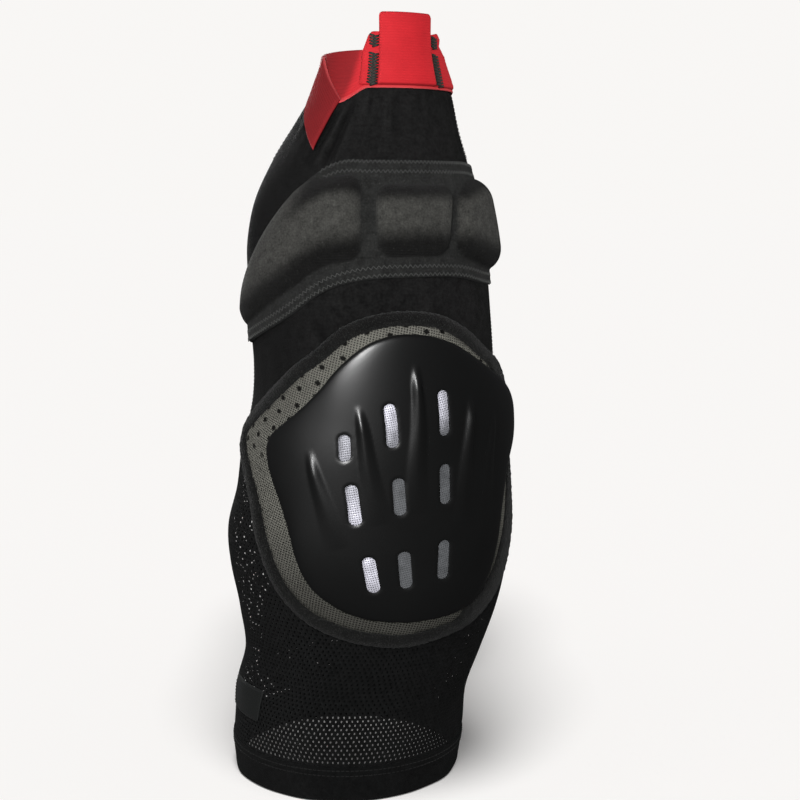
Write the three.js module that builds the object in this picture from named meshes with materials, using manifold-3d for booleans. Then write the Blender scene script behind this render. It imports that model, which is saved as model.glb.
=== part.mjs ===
import * as THREE from 'three';
import { mergeVertices } from 'three/addons/utils/BufferGeometryUtils.js';
import Module from 'manifold-3d';

const wasm = await Module();
wasm.setup();

// Padded protective shorts, in millimetres. +Z is up, the wearer faces -Y and the wearer's
// right is -X. The origin is the centre of the waist opening, level with the band's lower edge.

// Driving sizes
const LEG_CENTRE = 95;            // sideways distance from the middle to a leg's centre
const BAND_HEIGHT = 22.5;         // waist elastic
const TAB_HEIGHT = 47.5;          // side tab, from the band's lower edge
const TAB_CORNER = 3;             // cut from the tab's upper corners
const BACKING_HEIGHT = 35;        // elastic layer behind the side tab
const BACKING_CORNER = 5;         // cut from the backing's upper corners
const LEG_SEAM_Z = -240;          // jersey body above, mesh leg below
const HEM_SEAM_Z = -447;          // mesh leg above, hem below
const HEM_Z = -471;               // lower edge of the garment
const CROTCH_SEAM_Y = 8;          // front panel meets seat panel
const SEAM_GAP = 0.4;             // between pieces that are sewn edge to edge
const LAYER_GAP = 0.5;            // between pieces that lie on each other
const CURVE_GAP = 1.1;            // under a coarse patch that lies on the round body

// Wall thicknesses
const JERSEY = 1.5;
const LEG_CLOTH = 1.2;
const HEM_OUTSIDE = 0.9;
const HEM_INSIDE = 1.6;
const BAND_OUTSIDE = 1.6;
const BAND_INSIDE = 0.8;
const BACKING_CLOTH = 1.5;
const TAB_CLOTH = 2;
const LABEL_CLOTH = 1;
const FLAP_CLOTH = 2;
const BASE_FOAM = 5.5;            // grey spacer-mesh panel
const BASE_SLOPE = 1.5;           // how much thinner it is at its edge
const BINDING_WIDTH = 8;          // rolled tape around that panel
const BINDING_RISE = 3.4;         // half of the roll's height
const INSERT_EDGE = 0.7;          // silver-faced foam at its edge
const INSERT_RISE = 3.8;          // how far it rises from there to its middle
const SHELL_WALL = 2.2;           // moulded plastic
const SHELL_RISE = 6.5;           // how far the shell domes up from its edge
const PAD_SEAM = 2.2;             // flat seams of the hip pad
const PAD_CROWN = 9;              // how far a chamber swells above its seams

// Sections of one half of the body and its leg, from the top down. front and back are along Y,
// side is the outermost X of the right half and inner the innermost, square its roundness there.
const SECTIONS = [
  { z: 50, front: -40, back: 38, side: -138, inner: 60, square: 4 },
  { z: 24, front: -40.5, back: 38.5, side: -138, inner: 60, square: 4 },
  { z: 0, front: -46.5, back: 46.5, side: -141, inner: 60, square: 4 },
  { z: -20, front: -51, back: 58.5, side: -149, inner: 58, square: 4 },
  { z: -45, front: -58.5, back: 74.5, side: -160, inner: 52, square: 3.8 },
  { z: -72, front: -65.5, back: 87.5, side: -169, inner: 46, square: 3.6 },
  { z: -98, front: -70.5, back: 92.5, side: -174, inner: 40, square: 3.4 },
  { z: -126, front: -73.5, back: 91.5, side: -177, inner: 32, square: 3.2 },
  { z: -154, front: -75.5, back: 90.5, side: -178, inner: 24, square: 3 },
  { z: -182, front: -77, back: 89.5, side: -178.5, inner: 14, square: 2.8 },
  { z: -210, front: -79.5, back: 91, side: -179.5, inner: 3.5, square: 2.5 },
  { z: -240, front: -81, back: 97.5, side: -181, inner: -6, square: 2.3 },
  { z: -268, front: -83.5, back: 102, side: -181.5, inner: -7, square: 2.2 },
  { z: -296, front: -86.5, back: 108, side: -181, inner: -8, square: 2.1 },
  { z: -325, front: -86, back: 106.5, side: -179, inner: -10, square: 2 },
  { z: -354, front: -80, back: 100.5, side: -175, inner: -13, square: 2 },
  { z: -384, front: -70.5, back: 96, side: -171, inner: -16, square: 2 },
  { z: -414, front: -61, back: 104, side: -170, inner: -18, square: 2 },
  { z: -447, front: -56.5, back: 106.5, side: -171, inner: -19, square: 2 },
  { z: -471, front: -53, back: 105.5, side: -171, inner: -19, square: 2 },
];

// Angles round a half are in degrees: 0 faces sideways, -90 is the front and 90 the back.
const TAB_EDGES = { front: -45, back: 2 };
const BACKING_EDGES = { front: -58, back: 13 };
const LABEL_EDGES = { front: 49, back: 80, top: -404, bottom: -426 };
const FLAP_TOP = 6;               // where the fold starts on the band
const FLAP_EDGE = [
  { angle: 29, z: -4 },
  { angle: 35, z: -38 },
  { angle: 50, z: -26 },
  { angle: 65, z: -13 },
];

// Hip pad: its upper and lower edge, from the front round to the back
const PAD_EDGES = [
  { angle: -98, top: -50, bottom: -130 },
  { angle: -68, top: -46.5, bottom: -127 },
  { angle: -46, top: -46.5, bottom: -121 },
  { angle: -24, top: -46.5, bottom: -120 },
  { angle: -2, top: -46.5, bottom: -121 },
  { angle: 14, top: -47, bottom: -125 },
  { angle: 33, top: -63, bottom: -141 },
  { angle: 57, top: -100, bottom: -156 },
  { angle: 76, top: -120, bottom: -164 },
  { angle: 100, top: -134, bottom: -170 },
];
const PAD_GROOVES = [-98, -45, -1, 100];
const PAD_SEAM_SHARE = 0.14;      // part of the pad's height that each flat seam takes

// Thigh shield: upper and lower edge of each layer, from the back round to the front
const SHELL_EDGES = [
  { angle: 43.5, top: -226, bottom: -233 },
  { angle: 40, top: -219, bottom: -246 },
  { angle: 35, top: -212, bottom: -261 },
  { angle: 28, top: -202, bottom: -285 },
  { angle: 21, top: -191, bottom: -315 },
  { angle: 12, top: -175, bottom: -329.5 },
  { angle: 1, top: -161.5, bottom: -338 },
  { angle: -9, top: -156, bottom: -341 },
  { angle: -17, top: -155.2, bottom: -341.8 },
  { angle: -26, top: -157, bottom: -341 },
  { angle: -37, top: -163, bottom: -338 },
  { angle: -45, top: -170, bottom: -331 },
  { angle: -52, top: -176.5, bottom: -312 },
  { angle: -58, top: -182, bottom: -283 },
  { angle: -65, top: -188, bottom: -256 },
  { angle: -76, top: -199, bottom: -238 },
  { angle: -86, top: -213, bottom: -224 },
];
const BASE_EDGES = [
  { angle: 65, top: -226, bottom: -232 },
  { angle: 59, top: -217, bottom: -244 },
  { angle: 50, top: -206, bottom: -263 },
  { angle: 40, top: -194, bottom: -292 },
  { angle: 31, top: -183, bottom: -322 },
  { angle: 21, top: -173, bottom: -338 },
  { angle: 8, top: -158, bottom: -347 },
  { angle: -5, top: -151, bottom: -351.5 },
  { angle: -17, top: -149.5, bottom: -353 },
  { angle: -30, top: -152, bottom: -350 },
  { angle: -43, top: -161, bottom: -345 },
  { angle: -55, top: -173, bottom: -333 },
  { angle: -61, top: -178, bottom: -322 },
  { angle: -72, top: -188, bottom: -292 },
  { angle: -84, top: -202, bottom: -258 },
  { angle: -92, top: -211, bottom: -243 },
  { angle: -97, top: -222, bottom: -232 },
];
const SHIELD_CENTRE = { angle: -18, z: -246 };
const INSERT_SHARE = 0.84;        // the insert's outline, as a share of the shell's

// Slots through the shell, each from its upper to its lower end
const SLOT_WIDTH = 7.4;
const SLOT_REACH = 40;            // length of the cutter, past the shell's crown
const SLOTS = [
  { angle: 9.5, z: -218, lowAngle: 8, lowZ: -235 },
  { angle: 5.5, z: -249, lowAngle: 3, lowZ: -275 },
  { angle: -1.5, z: -295, lowAngle: -3.5, lowZ: -319 },
  { angle: -6.5, z: -198, lowAngle: -8.5, lowZ: -226 },
  { angle: -11, z: -245, lowAngle: -12, lowZ: -269 },
  { angle: -13.5, z: -292, lowAngle: -14.5, lowZ: -317 },
  { angle: -27.5, z: -191, lowAngle: -28, lowZ: -220 },
  { angle: -28.5, z: -238, lowAngle: -28.5, lowZ: -264 },
  { angle: -28, z: -287, lowAngle: -27.5, lowZ: -313 },
];

// Raised lance-shaped ribs of the shell, from their pointed upper end down
const RIB_WIDTH = 7.5;
const RIB_RISE = 2.4;
const RIB_TIP = 0.08;             // a rib's size at its two ends
const RIB_ROOT = 1.4;             // how deep it is rooted in the shell
const RIBS = [
  { angle: 22, z: -224, lowAngle: 10.5, lowZ: -268 },
  { angle: 5.5, z: -193, lowAngle: -3, lowZ: -248 },
  { angle: -17, z: -168, lowAngle: -17.5, lowZ: -240 },
  { angle: -40, z: -194, lowAngle: -36, lowZ: -250 },
];

// How finely the round shapes are cut
const SIDE_STEPS = 14;
const MEDIAL_STEPS = 8;
const BODY_ROW = 27;
const LEG_ROW = 30;
const BASE_ROWS = 6;
const SHELL_ROWS = 7;
const INSERT_ROWS = 5;
const PAD_COLUMNS = 16;
const PAD_ROWS = 6;
const FLAP_COLUMNS = 6;
const FLAP_ROWS = 2;
const STRIP_COLUMNS = 8;
const STRIP_ROWS = 3;
const LABEL_COLUMNS = 4;
const LABEL_ROWS = 3;
const BINDING_SIDES = 5;
const RIB_STEPS = 4;
const SLOT_END_STEPS = 3;

const materials = {
  redElastic: new THREE.MeshStandardMaterial({ color: 0xcc2a32, roughness: 0.75, metalness: 0 }),
  jersey: new THREE.MeshStandardMaterial({ color: 0x18181a, roughness: 0.9, metalness: 0 }),
  padCloth: new THREE.MeshStandardMaterial({ color: 0x33332f, roughness: 0.95, metalness: 0 }),
  spacerMesh: new THREE.MeshStandardMaterial({ color: 0x84826f, roughness: 0.9, metalness: 0 }),
  binding: new THREE.MeshStandardMaterial({ color: 0x141414, roughness: 0.95, metalness: 0 }),
  silverCloth: new THREE.MeshStandardMaterial({ color: 0xb9babd, roughness: 0.45, metalness: 0.3 }),
  shell: new THREE.MeshStandardMaterial({ color: 0x101012, roughness: 0.4, metalness: 0 }),
  openMesh: new THREE.MeshStandardMaterial({ color: 0x161616, roughness: 0.95, metalness: 0 }),
};

// Smooth curve through the rows of a table: a cubic between neighbours, whose slope at each row
// is the mean of the slopes on its two sides.
function along(rows, key, column, at) {
  const last = rows.length - 1;
  const step = (i) => (rows[i + 1][column] - rows[i][column]) / (rows[i + 1][key] - rows[i][key]);
  const slope = (i) => (step(Math.max(i - 1, 0)) + step(Math.min(i, last - 1))) / 2;
  const rising = rows[last][key] > rows[0][key];
  let i = 0;
  while (i < last - 1 && (rising ? at > rows[i + 1][key] : at < rows[i + 1][key])) i += 1;
  const run = rows[i + 1][key] - rows[i][key];
  const u = THREE.MathUtils.clamp((at - rows[i][key]) / run, 0, 1);
  const start = rows[i][column] * (1 + 2 * u) * (1 - u) ** 2 + slope(i) * run * u * (1 - u) ** 2;
  const end = rows[i + 1][column] * u * u * (3 - 2 * u) + slope(i + 1) * run * u * u * (u - 1);
  return start + end;
}

// A point of the right half: half an ellipse on the outer side and half a rounded square on the
// inner side, both as deep as the section.
function sectionPoint(angle, z) {
  const turn = THREE.MathUtils.degToRad(angle);
  const across = Math.cos(turn);
  const fore = Math.sin(turn);
  const front = along(SECTIONS, 'z', 'front', z);
  const back = along(SECTIONS, 'z', 'back', z);
  const outside = across >= 0;
  const reach = outside
    ? -LEG_CENTRE - along(SECTIONS, 'z', 'side', z)
    : along(SECTIONS, 'z', 'inner', z) + LEG_CENTRE;
  const power = outside ? 1 : 2 / along(SECTIONS, 'z', 'square', z);
  const x = -LEG_CENTRE - reach * Math.sign(across) * Math.abs(across) ** power;
  const y = (front + back) / 2 + ((back - front) / 2) * Math.sign(fore) * Math.abs(fore) ** power;
  return new THREE.Vector3(x, y, z);
}

const PROBE = 0.05;               // small step that finds a surface's direction
const ARC_PER_DEGREE = 1.6;       // length of one degree round the thigh

// The body's outer surface, moved out along its normal by a height.
function skin(angle, z, height) {
  const round = sectionPoint(angle + PROBE, z).sub(sectionPoint(angle - PROBE, z));
  const up = sectionPoint(angle, z + PROBE).sub(sectionPoint(angle, z - PROBE));
  const normal = up.cross(round).normalize();
  return sectionPoint(angle, z).addScaledVector(normal, height);
}

// A level loop round one half, moved out in its own plane by a distance.
function loop(z, out) {
  const angles = [];
  for (let i = 0; i < SIDE_STEPS; i += 1) angles.push(-90 + (180 * i) / SIDE_STEPS);
  for (let i = 0; i < MEDIAL_STEPS; i += 1) angles.push(90 + (180 * i) / MEDIAL_STEPS);
  return angles.map((angle) => {
    const round = sectionPoint(angle + PROBE, z).sub(sectionPoint(angle - PROBE, z));
    const normal = new THREE.Vector3(-round.y, round.x, 0).normalize();
    return sectionPoint(angle, z).addScaledVector(normal, out);
  });
}

// A closed solid put together from rings and strips of points
class Skinner {
  constructor() {
    this.points = [];
    this.faces = [];
  }

  row(points) {
    return points.map((point) => this.points.push(point) - 1);
  }

  strip(first, second, closed) {
    const count = closed ? first.length : first.length - 1;
    for (let i = 0; i < count; i += 1) {
      const j = (i + 1) % first.length;
      this.faces.push([first[i], first[j], second[j]], [first[i], second[j], second[i]]);
    }
  }

  fan(centre, ring) {
    const [middle] = this.row([centre]);
    ring.forEach((point, i) => this.faces.push([middle, point, ring[(i + 1) % ring.length]]));
  }

  geometry() {
    let volume = 0;
    for (const [a, b, c] of this.faces) {
      const cross = new THREE.Vector3().crossVectors(this.points[b], this.points[c]);
      volume += this.points[a].dot(cross);
    }
    const order = volume > 0 ? [0, 1, 2] : [0, 2, 1];
    const shape = new THREE.BufferGeometry().setFromPoints(this.points);
    shape.setIndex(this.faces.flatMap((face) => order.map((corner) => face[corner])));
    return shape;
  }
}

function middleOf(points) {
  const sum = new THREE.Vector3();
  points.forEach((point) => sum.add(point));
  return sum.divideScalar(points.length);
}

// A solid through closed rings, with its two ends filled.
function loft(rings) {
  const skinner = new Skinner();
  const rows = rings.map((ring) => skinner.row(ring));
  for (let i = 1; i < rows.length; i += 1) skinner.strip(rows[i - 1], rows[i], true);
  skinner.fan(middleOf(rings[0]), rows[0].toReversed());
  skinner.fan(middleOf(rings.at(-1)), rows.at(-1));
  return skinner.geometry();
}

// A solid through closed rings whose last ring joins its first, such as a tube with a wall.
function ringLoft(rings) {
  const skinner = new Skinner();
  const rows = rings.map((ring) => skinner.row(ring));
  rows.forEach((row, i) => skinner.strip(row, rows[(i + 1) % rows.length], true));
  return skinner.geometry();
}

// A patch with an outer and an inner face, each given as rows of points.
function patch(outer, inner) {
  const skinner = new Skinner();
  const top = outer.map((row) => skinner.row(row));
  const under = inner.map((row) => skinner.row(row));
  for (let i = 1; i < top.length; i += 1) {
    skinner.strip(top[i - 1], top[i], false);
    skinner.strip(under[i], under[i - 1], false);
  }
  const rim = (rows) => [
    ...rows[0],
    ...rows.slice(1, -1).map((row) => row.at(-1)),
    ...rows.at(-1).toReversed(),
    ...rows.slice(1, -1).map((row) => row[0]).toReversed(),
  ];
  skinner.strip(rim(under), rim(top), true);
  return skinner.geometry();
}

function asSolid(shape) {
  const bare = shape.clone();
  bare.deleteAttribute('normal');
  bare.deleteAttribute('uv');
  const joined = mergeVertices(bare);
  const vertProperties = new Float32Array(joined.attributes.position.array);
  const triVerts = new Uint32Array(joined.index.array);
  return new wasm.Manifold(new wasm.Mesh({ numProp: 3, vertProperties, triVerts }));
}

function asShape(solid) {
  const mesh = solid.getMesh();
  const shape = new THREE.BufferGeometry();
  shape.setAttribute('position', new THREE.BufferAttribute(mesh.vertProperties, 3));
  shape.setIndex(new THREE.BufferAttribute(mesh.triVerts, 1));
  return shape;
}

// The same shape on the wearer's other side, with its faces still pointing out.
function mirrored(shape) {
  const copy = shape.clone().applyMatrix4(new THREE.Matrix4().makeScale(-1, 1, 1));
  const corners = Array.from(copy.index.array);
  for (let i = 0; i < corners.length; i += 3) {
    [corners[i + 1], corners[i + 2]] = [corners[i + 2], corners[i + 1]];
  }
  copy.setIndex(corners);
  return copy;
}

const shorts = new THREE.Group();

function addPiece(name, shape, material) {
  const bare = shape.clone();
  bare.computeVertexNormals();
  const piece = new THREE.Mesh(bare, material);
  piece.name = name;
  shorts.add(piece);
}

function addPair(name, shape, material) {
  addPiece(`${name}_right`, shape, material);
  addPiece(`${name}_left`, mirrored(shape), material);
}

// Heights from the top down, at even steps no longer than a given length
function levels(top, bottom, longest) {
  const count = Math.ceil((top - bottom) / longest);
  return Array.from({ length: count + 1 }, (_, i) => top + ((bottom - top) * i) / count);
}

function shares(count) {
  return Array.from({ length: count + 1 }, (_, i) => i / count);
}

// The two halves joined into one solid between two heights
function joinedHalves(heights, out) {
  const half = loft(heights.map((z) => loop(z, out)));
  return asSolid(half).add(asSolid(mirrored(half)));
}

function block(low, high) {
  const size = new THREE.Vector3().subVectors(high, low);
  const shape = new THREE.BoxGeometry(size.x, size.y, size.z);
  const middle = new THREE.Vector3().addVectors(low, high).multiplyScalar(0.5);
  return asSolid(shape.translate(middle.x, middle.y, middle.z));
}

const FAR = 600;                  // past the garment on every side
const CLEAR = 4;                  // how far a hollow is cut past its open ends

// Jersey body: a hollow wall open at the waist and legs, cut into its four sewn panels
const bodyTop = -SEAM_GAP;
const bodyOuter = joinedHalves(levels(bodyTop, LEG_SEAM_Z, BODY_ROW), 0);
const bodyHollow = joinedHalves(levels(bodyTop + CLEAR, LEG_SEAM_Z - CLEAR, BODY_ROW), -JERSEY);
const body = bodyOuter.subtract(bodyHollow);
const seam = SEAM_GAP / 2;
const sideBox = block(
  new THREE.Vector3(-FAR, -FAR, -FAR),
  new THREE.Vector3(-LEG_CENTRE - seam, FAR, FAR),
);
const frontBox = block(
  new THREE.Vector3(-LEG_CENTRE + seam, -FAR, -FAR),
  new THREE.Vector3(LEG_CENTRE - seam, CROTCH_SEAM_Y - seam, FAR),
);
const seatBox = block(
  new THREE.Vector3(-LEG_CENTRE + seam, CROTCH_SEAM_Y + seam, -FAR),
  new THREE.Vector3(LEG_CENTRE - seam, FAR, FAR),
);
addPiece('front_panel', asShape(body.intersect(frontBox)), materials.jersey);
addPiece('seat_panel', asShape(body.intersect(seatBox)), materials.jersey);
addPair('side_panel', asShape(body.intersect(sideBox)), materials.jersey);

// Waistband: a flat elastic ring, with a folded flap that droops at the back of the right side
const bandOuter = joinedHalves([BAND_HEIGHT, 0], BAND_OUTSIDE);
const bandHollow = joinedHalves([BAND_HEIGHT + CLEAR, -CLEAR], -BAND_INSIDE);
const flapUnder = BAND_OUTSIDE - LAYER_GAP;
const flapFace = (height) => shares(FLAP_ROWS).map((drop) => shares(FLAP_COLUMNS).map((share) => {
  const angle = THREE.MathUtils.lerp(FLAP_EDGE[0].angle, FLAP_EDGE.at(-1).angle, share);
  const lowest = along(FLAP_EDGE, 'angle', 'z', angle);
  return skin(angle, THREE.MathUtils.lerp(FLAP_TOP, lowest, drop), height);
}));
const flap = patch(flapFace(flapUnder + FLAP_CLOTH), flapFace(flapUnder));
const waistband = bandOuter.subtract(bandHollow).add(asSolid(flap));
addPiece('waistband', asShape(waistband), materials.redElastic);

// Elastic tabs on the sides of the waist: upright strips with rounded upper corners
function elasticStrip(edges, height, under, cloth, corner) {
  const face = (out) => shares(STRIP_ROWS).map((rise) => shares(STRIP_COLUMNS).map((share) => {
    const angle = THREE.MathUtils.lerp(edges.front, edges.back, share);
    const cut = Math.min(share, 1 - share) === 0 ? corner : 0;
    return skin(angle, rise * (height - cut), out);
  }));
  return patch(face(under + cloth), face(under));
}
const backingUnder = BAND_OUTSIDE + CURVE_GAP;
const tabUnder = backingUnder + BACKING_CLOTH + LAYER_GAP;
const backing = elasticStrip(
  BACKING_EDGES,
  BACKING_HEIGHT,
  backingUnder,
  BACKING_CLOTH,
  BACKING_CORNER,
);
addPair('tab_backing', backing, materials.redElastic);
const tab = elasticStrip(TAB_EDGES, TAB_HEIGHT, tabUnder, TAB_CLOTH, TAB_CORNER);
addPair('side_tab', tab, materials.redElastic);

// Hip pad: three padded chambers between flat seams
const padFirst = PAD_EDGES[0].angle;
const padLast = PAD_EDGES.at(-1).angle;

// Height of the pad: a flat seam along every edge and groove, and a smooth crown between them
function padHeight(angle, drop) {
  const chamber = PAD_GROOVES.findLastIndex((groove) => angle >= groove - PROBE);
  const left = PAD_GROOVES[Math.min(chamber, PAD_GROOVES.length - 2)];
  const right = PAD_GROOVES[Math.min(chamber, PAD_GROOVES.length - 2) + 1];
  const across = Math.sin(Math.PI * THREE.MathUtils.clamp((angle - left) / (right - left), 0, 1));
  const inside = (drop - PAD_SEAM_SHARE) / (1 - 2 * PAD_SEAM_SHARE);
  const down = Math.sin(Math.PI * THREE.MathUtils.clamp(inside, 0, 1));
  return PAD_SEAM + PAD_CROWN * Math.sqrt(Math.max(0, across)) * Math.sqrt(Math.max(0, down));
}
const padRowDrops = [
  0,
  ...shares(PAD_ROWS).map((share) => PAD_SEAM_SHARE + share * (1 - 2 * PAD_SEAM_SHARE)),
  1,
];
const padFace = (height) => padRowDrops.map((drop) => shares(PAD_COLUMNS).map((share) => {
  const angle = THREE.MathUtils.lerp(padFirst, padLast, share);
  const top = along(PAD_EDGES, 'angle', 'top', angle);
  const bottom = along(PAD_EDGES, 'angle', 'bottom', angle);
  return skin(angle, THREE.MathUtils.lerp(top, bottom, drop), height(angle, drop));
}));
const hipPad = patch(padFace((a, d) => CURVE_GAP + padHeight(a, d)), padFace(() => CURVE_GAP));
addPair('hip_pad', hipPad, materials.padCloth);

// Places on a shield layer, a column for each row of its table, whose rows lie closer together
// near both edges. across and down run from -1 to 1 over the layer, and share draws it in
// towards the shield's centre.
function shieldPlaces(edges, rowCount, share) {
  const last = edges.at(-1).angle;
  const drawIn = (centre, value) => centre + share * (value - centre);
  return shares(rowCount).map((row) => edges.map((edge) => {
    const down = Math.sin(Math.PI * (row - 0.5));
    const across = (2 * edge.angle - edges[0].angle - last) / (edges[0].angle - last);
    const z = (edge.top + edge.bottom) / 2 + ((edge.bottom - edge.top) / 2) * down;
    return {
      angle: drawIn(SHIELD_CENTRE.angle, edge.angle),
      z: drawIn(SHIELD_CENTRE.z, z),
      across,
      down,
    };
  }));
}

// A shield layer between two heights, each a function of the place on it
function shieldLayer(places, over, under) {
  const face = (height) => places.map((row) => row.map(
    (place) => skin(place.angle, place.z, height(place)),
  ));
  return patch(face(over), face(under));
}

// A smooth dome: one in the middle of a layer and none along its edge
const dome = (place) => Math.sqrt((1 - Math.abs(place.across) ** 3) * (1 - Math.abs(place.down) ** 3));

const baseUnder = CURVE_GAP;
const baseTop = baseUnder + BASE_FOAM;
const basePlaces = shieldPlaces(BASE_EDGES, BASE_ROWS, 1);

// Grey foam panel under the shield, thinner towards its edge
const baseShape = shieldLayer(
  basePlaces,
  (place) => baseTop - BASE_SLOPE * (1 - dome(place)),
  () => baseUnder,
);
addPair('shield_base', baseShape, materials.spacerMesh);

// Rolled binding along the edge of the foam panel: an oval carried round its outline
function bindingShape() {
  const rim = [
    ...basePlaces[0].toReversed(),
    ...basePlaces.at(-1),
  ];
  const sections = rim.map((place, i) => {
    const before = rim[(i + rim.length - 1) % rim.length];
    const after = rim[(i + 1) % rim.length];
    const way = new THREE.Vector2((after.angle - before.angle) * ARC_PER_DEGREE, after.z - before.z);
    const out = new THREE.Vector2(-way.y, way.x).normalize();
    const centre = SEAM_GAP + BINDING_WIDTH / 2;
    return shares(BINDING_SIDES).slice(1).map((share) => {
      const turn = 2 * Math.PI * share;
      const reach = centre + (BINDING_WIDTH / 2) * Math.cos(turn);
      const height = baseUnder + BINDING_RISE * (1 + Math.sin(turn));
      const angle = place.angle + (out.x * reach) / ARC_PER_DEGREE;
      return skin(angle, place.z + out.y * reach, height);
    });
  });
  return ringLoft(sections);
}
addPair('shield_binding', bindingShape(), materials.binding);

// Silver-faced foam between the panel and the shell
const insertUnder = baseTop + CURVE_GAP + SEAM_GAP;
const insertEdges = SHELL_EDGES.filter((_, i) => i % 2 === 0);
const insertShape = shieldLayer(
  shieldPlaces(insertEdges, INSERT_ROWS, INSERT_SHARE),
  (place) => insertUnder + INSERT_EDGE + INSERT_RISE * dome(place),
  () => insertUnder,
);
addPair('silver_insert', insertShape, materials.silverCloth);

// Moulded shell: a thin dome with raised ribs, cut through by its slots
const shellUnder = (place) => baseTop + LAYER_GAP + SHELL_RISE * dome(place);
const shellDome = shieldLayer(
  shieldPlaces(SHELL_EDGES, SHELL_ROWS, 1),
  (place) => shellUnder(place) + SHELL_WALL,
  shellUnder,
);

// Height of the shell's outer face at an angle and height on the body
function shellTop(angle, z) {
  const first = SHELL_EDGES[0].angle;
  const last = SHELL_EDGES.at(-1).angle;
  const top = along(SHELL_EDGES, 'angle', 'top', angle);
  const bottom = along(SHELL_EDGES, 'angle', 'bottom', angle);
  const across = (2 * angle - first - last) / (first - last);
  const down = (2 * z - top - bottom) / (bottom - top);
  return shellUnder({ across, down }) + SHELL_WALL;
}

// A rib: a three-sided ridge on the shell, pointed at its upper end and fading at its lower one
function ribShape(rib) {
  const rings = shares(RIB_STEPS).map((share) => {
    const angle = THREE.MathUtils.lerp(rib.angle, rib.lowAngle, share);
    const z = THREE.MathUtils.lerp(rib.z, rib.lowZ, share);
    const size = RIB_TIP + (1 - RIB_TIP) * Math.sin(Math.PI * share);
    const degrees = (RIB_WIDTH * size) / 2 / ARC_PER_DEGREE;
    const root = shellTop(angle, z) - RIB_ROOT;
    return [
      skin(angle - degrees, z, root),
      skin(angle, z, root + RIB_ROOT + RIB_RISE * size),
      skin(angle + degrees, z, root),
    ];
  });
  return loft(rings);
}

// A slot: a round-ended prism that passes right through the shell
function slotShape(slot) {
  const top = skin(slot.angle, slot.z, 0);
  const low = skin(slot.lowAngle, slot.lowZ, 0);
  const run = new THREE.Vector3().subVectors(low, top).normalize();
  const middleAngle = (slot.angle + slot.lowAngle) / 2;
  const middleZ = (slot.z + slot.lowZ) / 2;
  const out = skin(middleAngle, middleZ, 1).sub(skin(middleAngle, middleZ, 0)).normalize();
  const aside = new THREE.Vector3().crossVectors(out, run).normalize();
  const upper = { end: top, start: Math.PI, inset: SLOT_WIDTH / 2 };
  const lower = { end: low, start: 0, inset: -SLOT_WIDTH / 2 };
  const rim = [upper, lower].flatMap(({ end, start, inset }) => (
    shares(SLOT_END_STEPS).map((share) => {
      const turn = start + Math.PI * share;
      return end.clone()
        .addScaledVector(aside, (SLOT_WIDTH / 2) * Math.cos(turn))
        .addScaledVector(run, inset + (SLOT_WIDTH / 2) * Math.sin(turn));
    })
  ));
  const ring = (height) => rim.map((point) => point.clone().addScaledVector(out, height));
  return loft([ring(0), ring(SLOT_REACH)]);
}

let shell = asSolid(shellDome);
RIBS.forEach((rib) => {
  shell = shell.add(asSolid(ribShape(rib)));
});
SLOTS.forEach((slot) => {
  shell = shell.subtract(asSolid(slotShape(slot)));
});
addPair('thigh_shield', asShape(shell), materials.shell);

// Mesh legs and turned hems: walls round each leg, open at both ends
function legTube(top, bottom, outside, inside) {
  const heights = levels(top, bottom, LEG_ROW);
  const outer = heights.map((z) => loop(z, outside));
  const inner = heights.map((z) => loop(z, -inside)).toReversed();
  return ringLoft([...outer, ...inner]);
}
addPair('leg_mesh', legTube(LEG_SEAM_Z - SEAM_GAP, HEM_SEAM_Z, 0, LEG_CLOTH), materials.openMesh);
const hem = legTube(HEM_SEAM_Z - SEAM_GAP, HEM_Z, HEM_OUTSIDE, HEM_INSIDE);
addPair('hem', hem, materials.jersey);

// Bare woven label at the back of the right leg, a little above the hem
const labelFace = (height) => shares(LABEL_ROWS).map((drop) => shares(LABEL_COLUMNS).map((share) => skin(
  THREE.MathUtils.lerp(LABEL_EDGES.front, LABEL_EDGES.back, share),
  THREE.MathUtils.lerp(LABEL_EDGES.top, LABEL_EDGES.bottom, drop),
  height,
)));
const label = patch(labelFace(LAYER_GAP + LABEL_CLOTH), labelFace(LAYER_GAP));
addPiece('hem_label', label, materials.jersey);

export default shorts;
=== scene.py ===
import math
import bpy
import numpy as np
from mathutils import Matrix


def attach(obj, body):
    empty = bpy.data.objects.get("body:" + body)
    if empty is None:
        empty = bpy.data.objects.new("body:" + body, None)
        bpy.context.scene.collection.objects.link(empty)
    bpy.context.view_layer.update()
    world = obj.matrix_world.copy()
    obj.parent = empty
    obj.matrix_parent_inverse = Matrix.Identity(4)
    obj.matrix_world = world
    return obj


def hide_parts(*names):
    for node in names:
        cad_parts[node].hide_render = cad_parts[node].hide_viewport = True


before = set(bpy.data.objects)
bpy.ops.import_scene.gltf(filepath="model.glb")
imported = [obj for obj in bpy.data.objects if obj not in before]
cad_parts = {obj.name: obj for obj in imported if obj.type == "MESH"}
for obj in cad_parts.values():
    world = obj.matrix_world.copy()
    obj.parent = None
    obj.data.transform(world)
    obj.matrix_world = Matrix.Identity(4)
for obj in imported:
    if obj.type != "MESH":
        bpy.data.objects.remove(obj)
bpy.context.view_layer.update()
scene = bpy.context.scene
print("frame loaded:", len(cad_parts), "nodes")

# Padded protective shorts. Shapes are worked out in millimetres and stored in metres;
# +Z is up, the wearer faces -Y and the wearer's right is -X.
toMetres = 0.001
fullTurn = 2 * math.pi
flipX = np.array([-1, 1, 1])

# Nodes and objects


def feed(tree, value, socket):
    # A link from another socket, or a plain value. A colour of three numbers gets full opacity.
    if isinstance(value, bpy.types.NodeSocket):
        tree.links.new(value, socket)
    elif socket.type == "RGBA":
        socket.default_value = (*value, 1)
    else:
        socket.default_value = value


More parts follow.
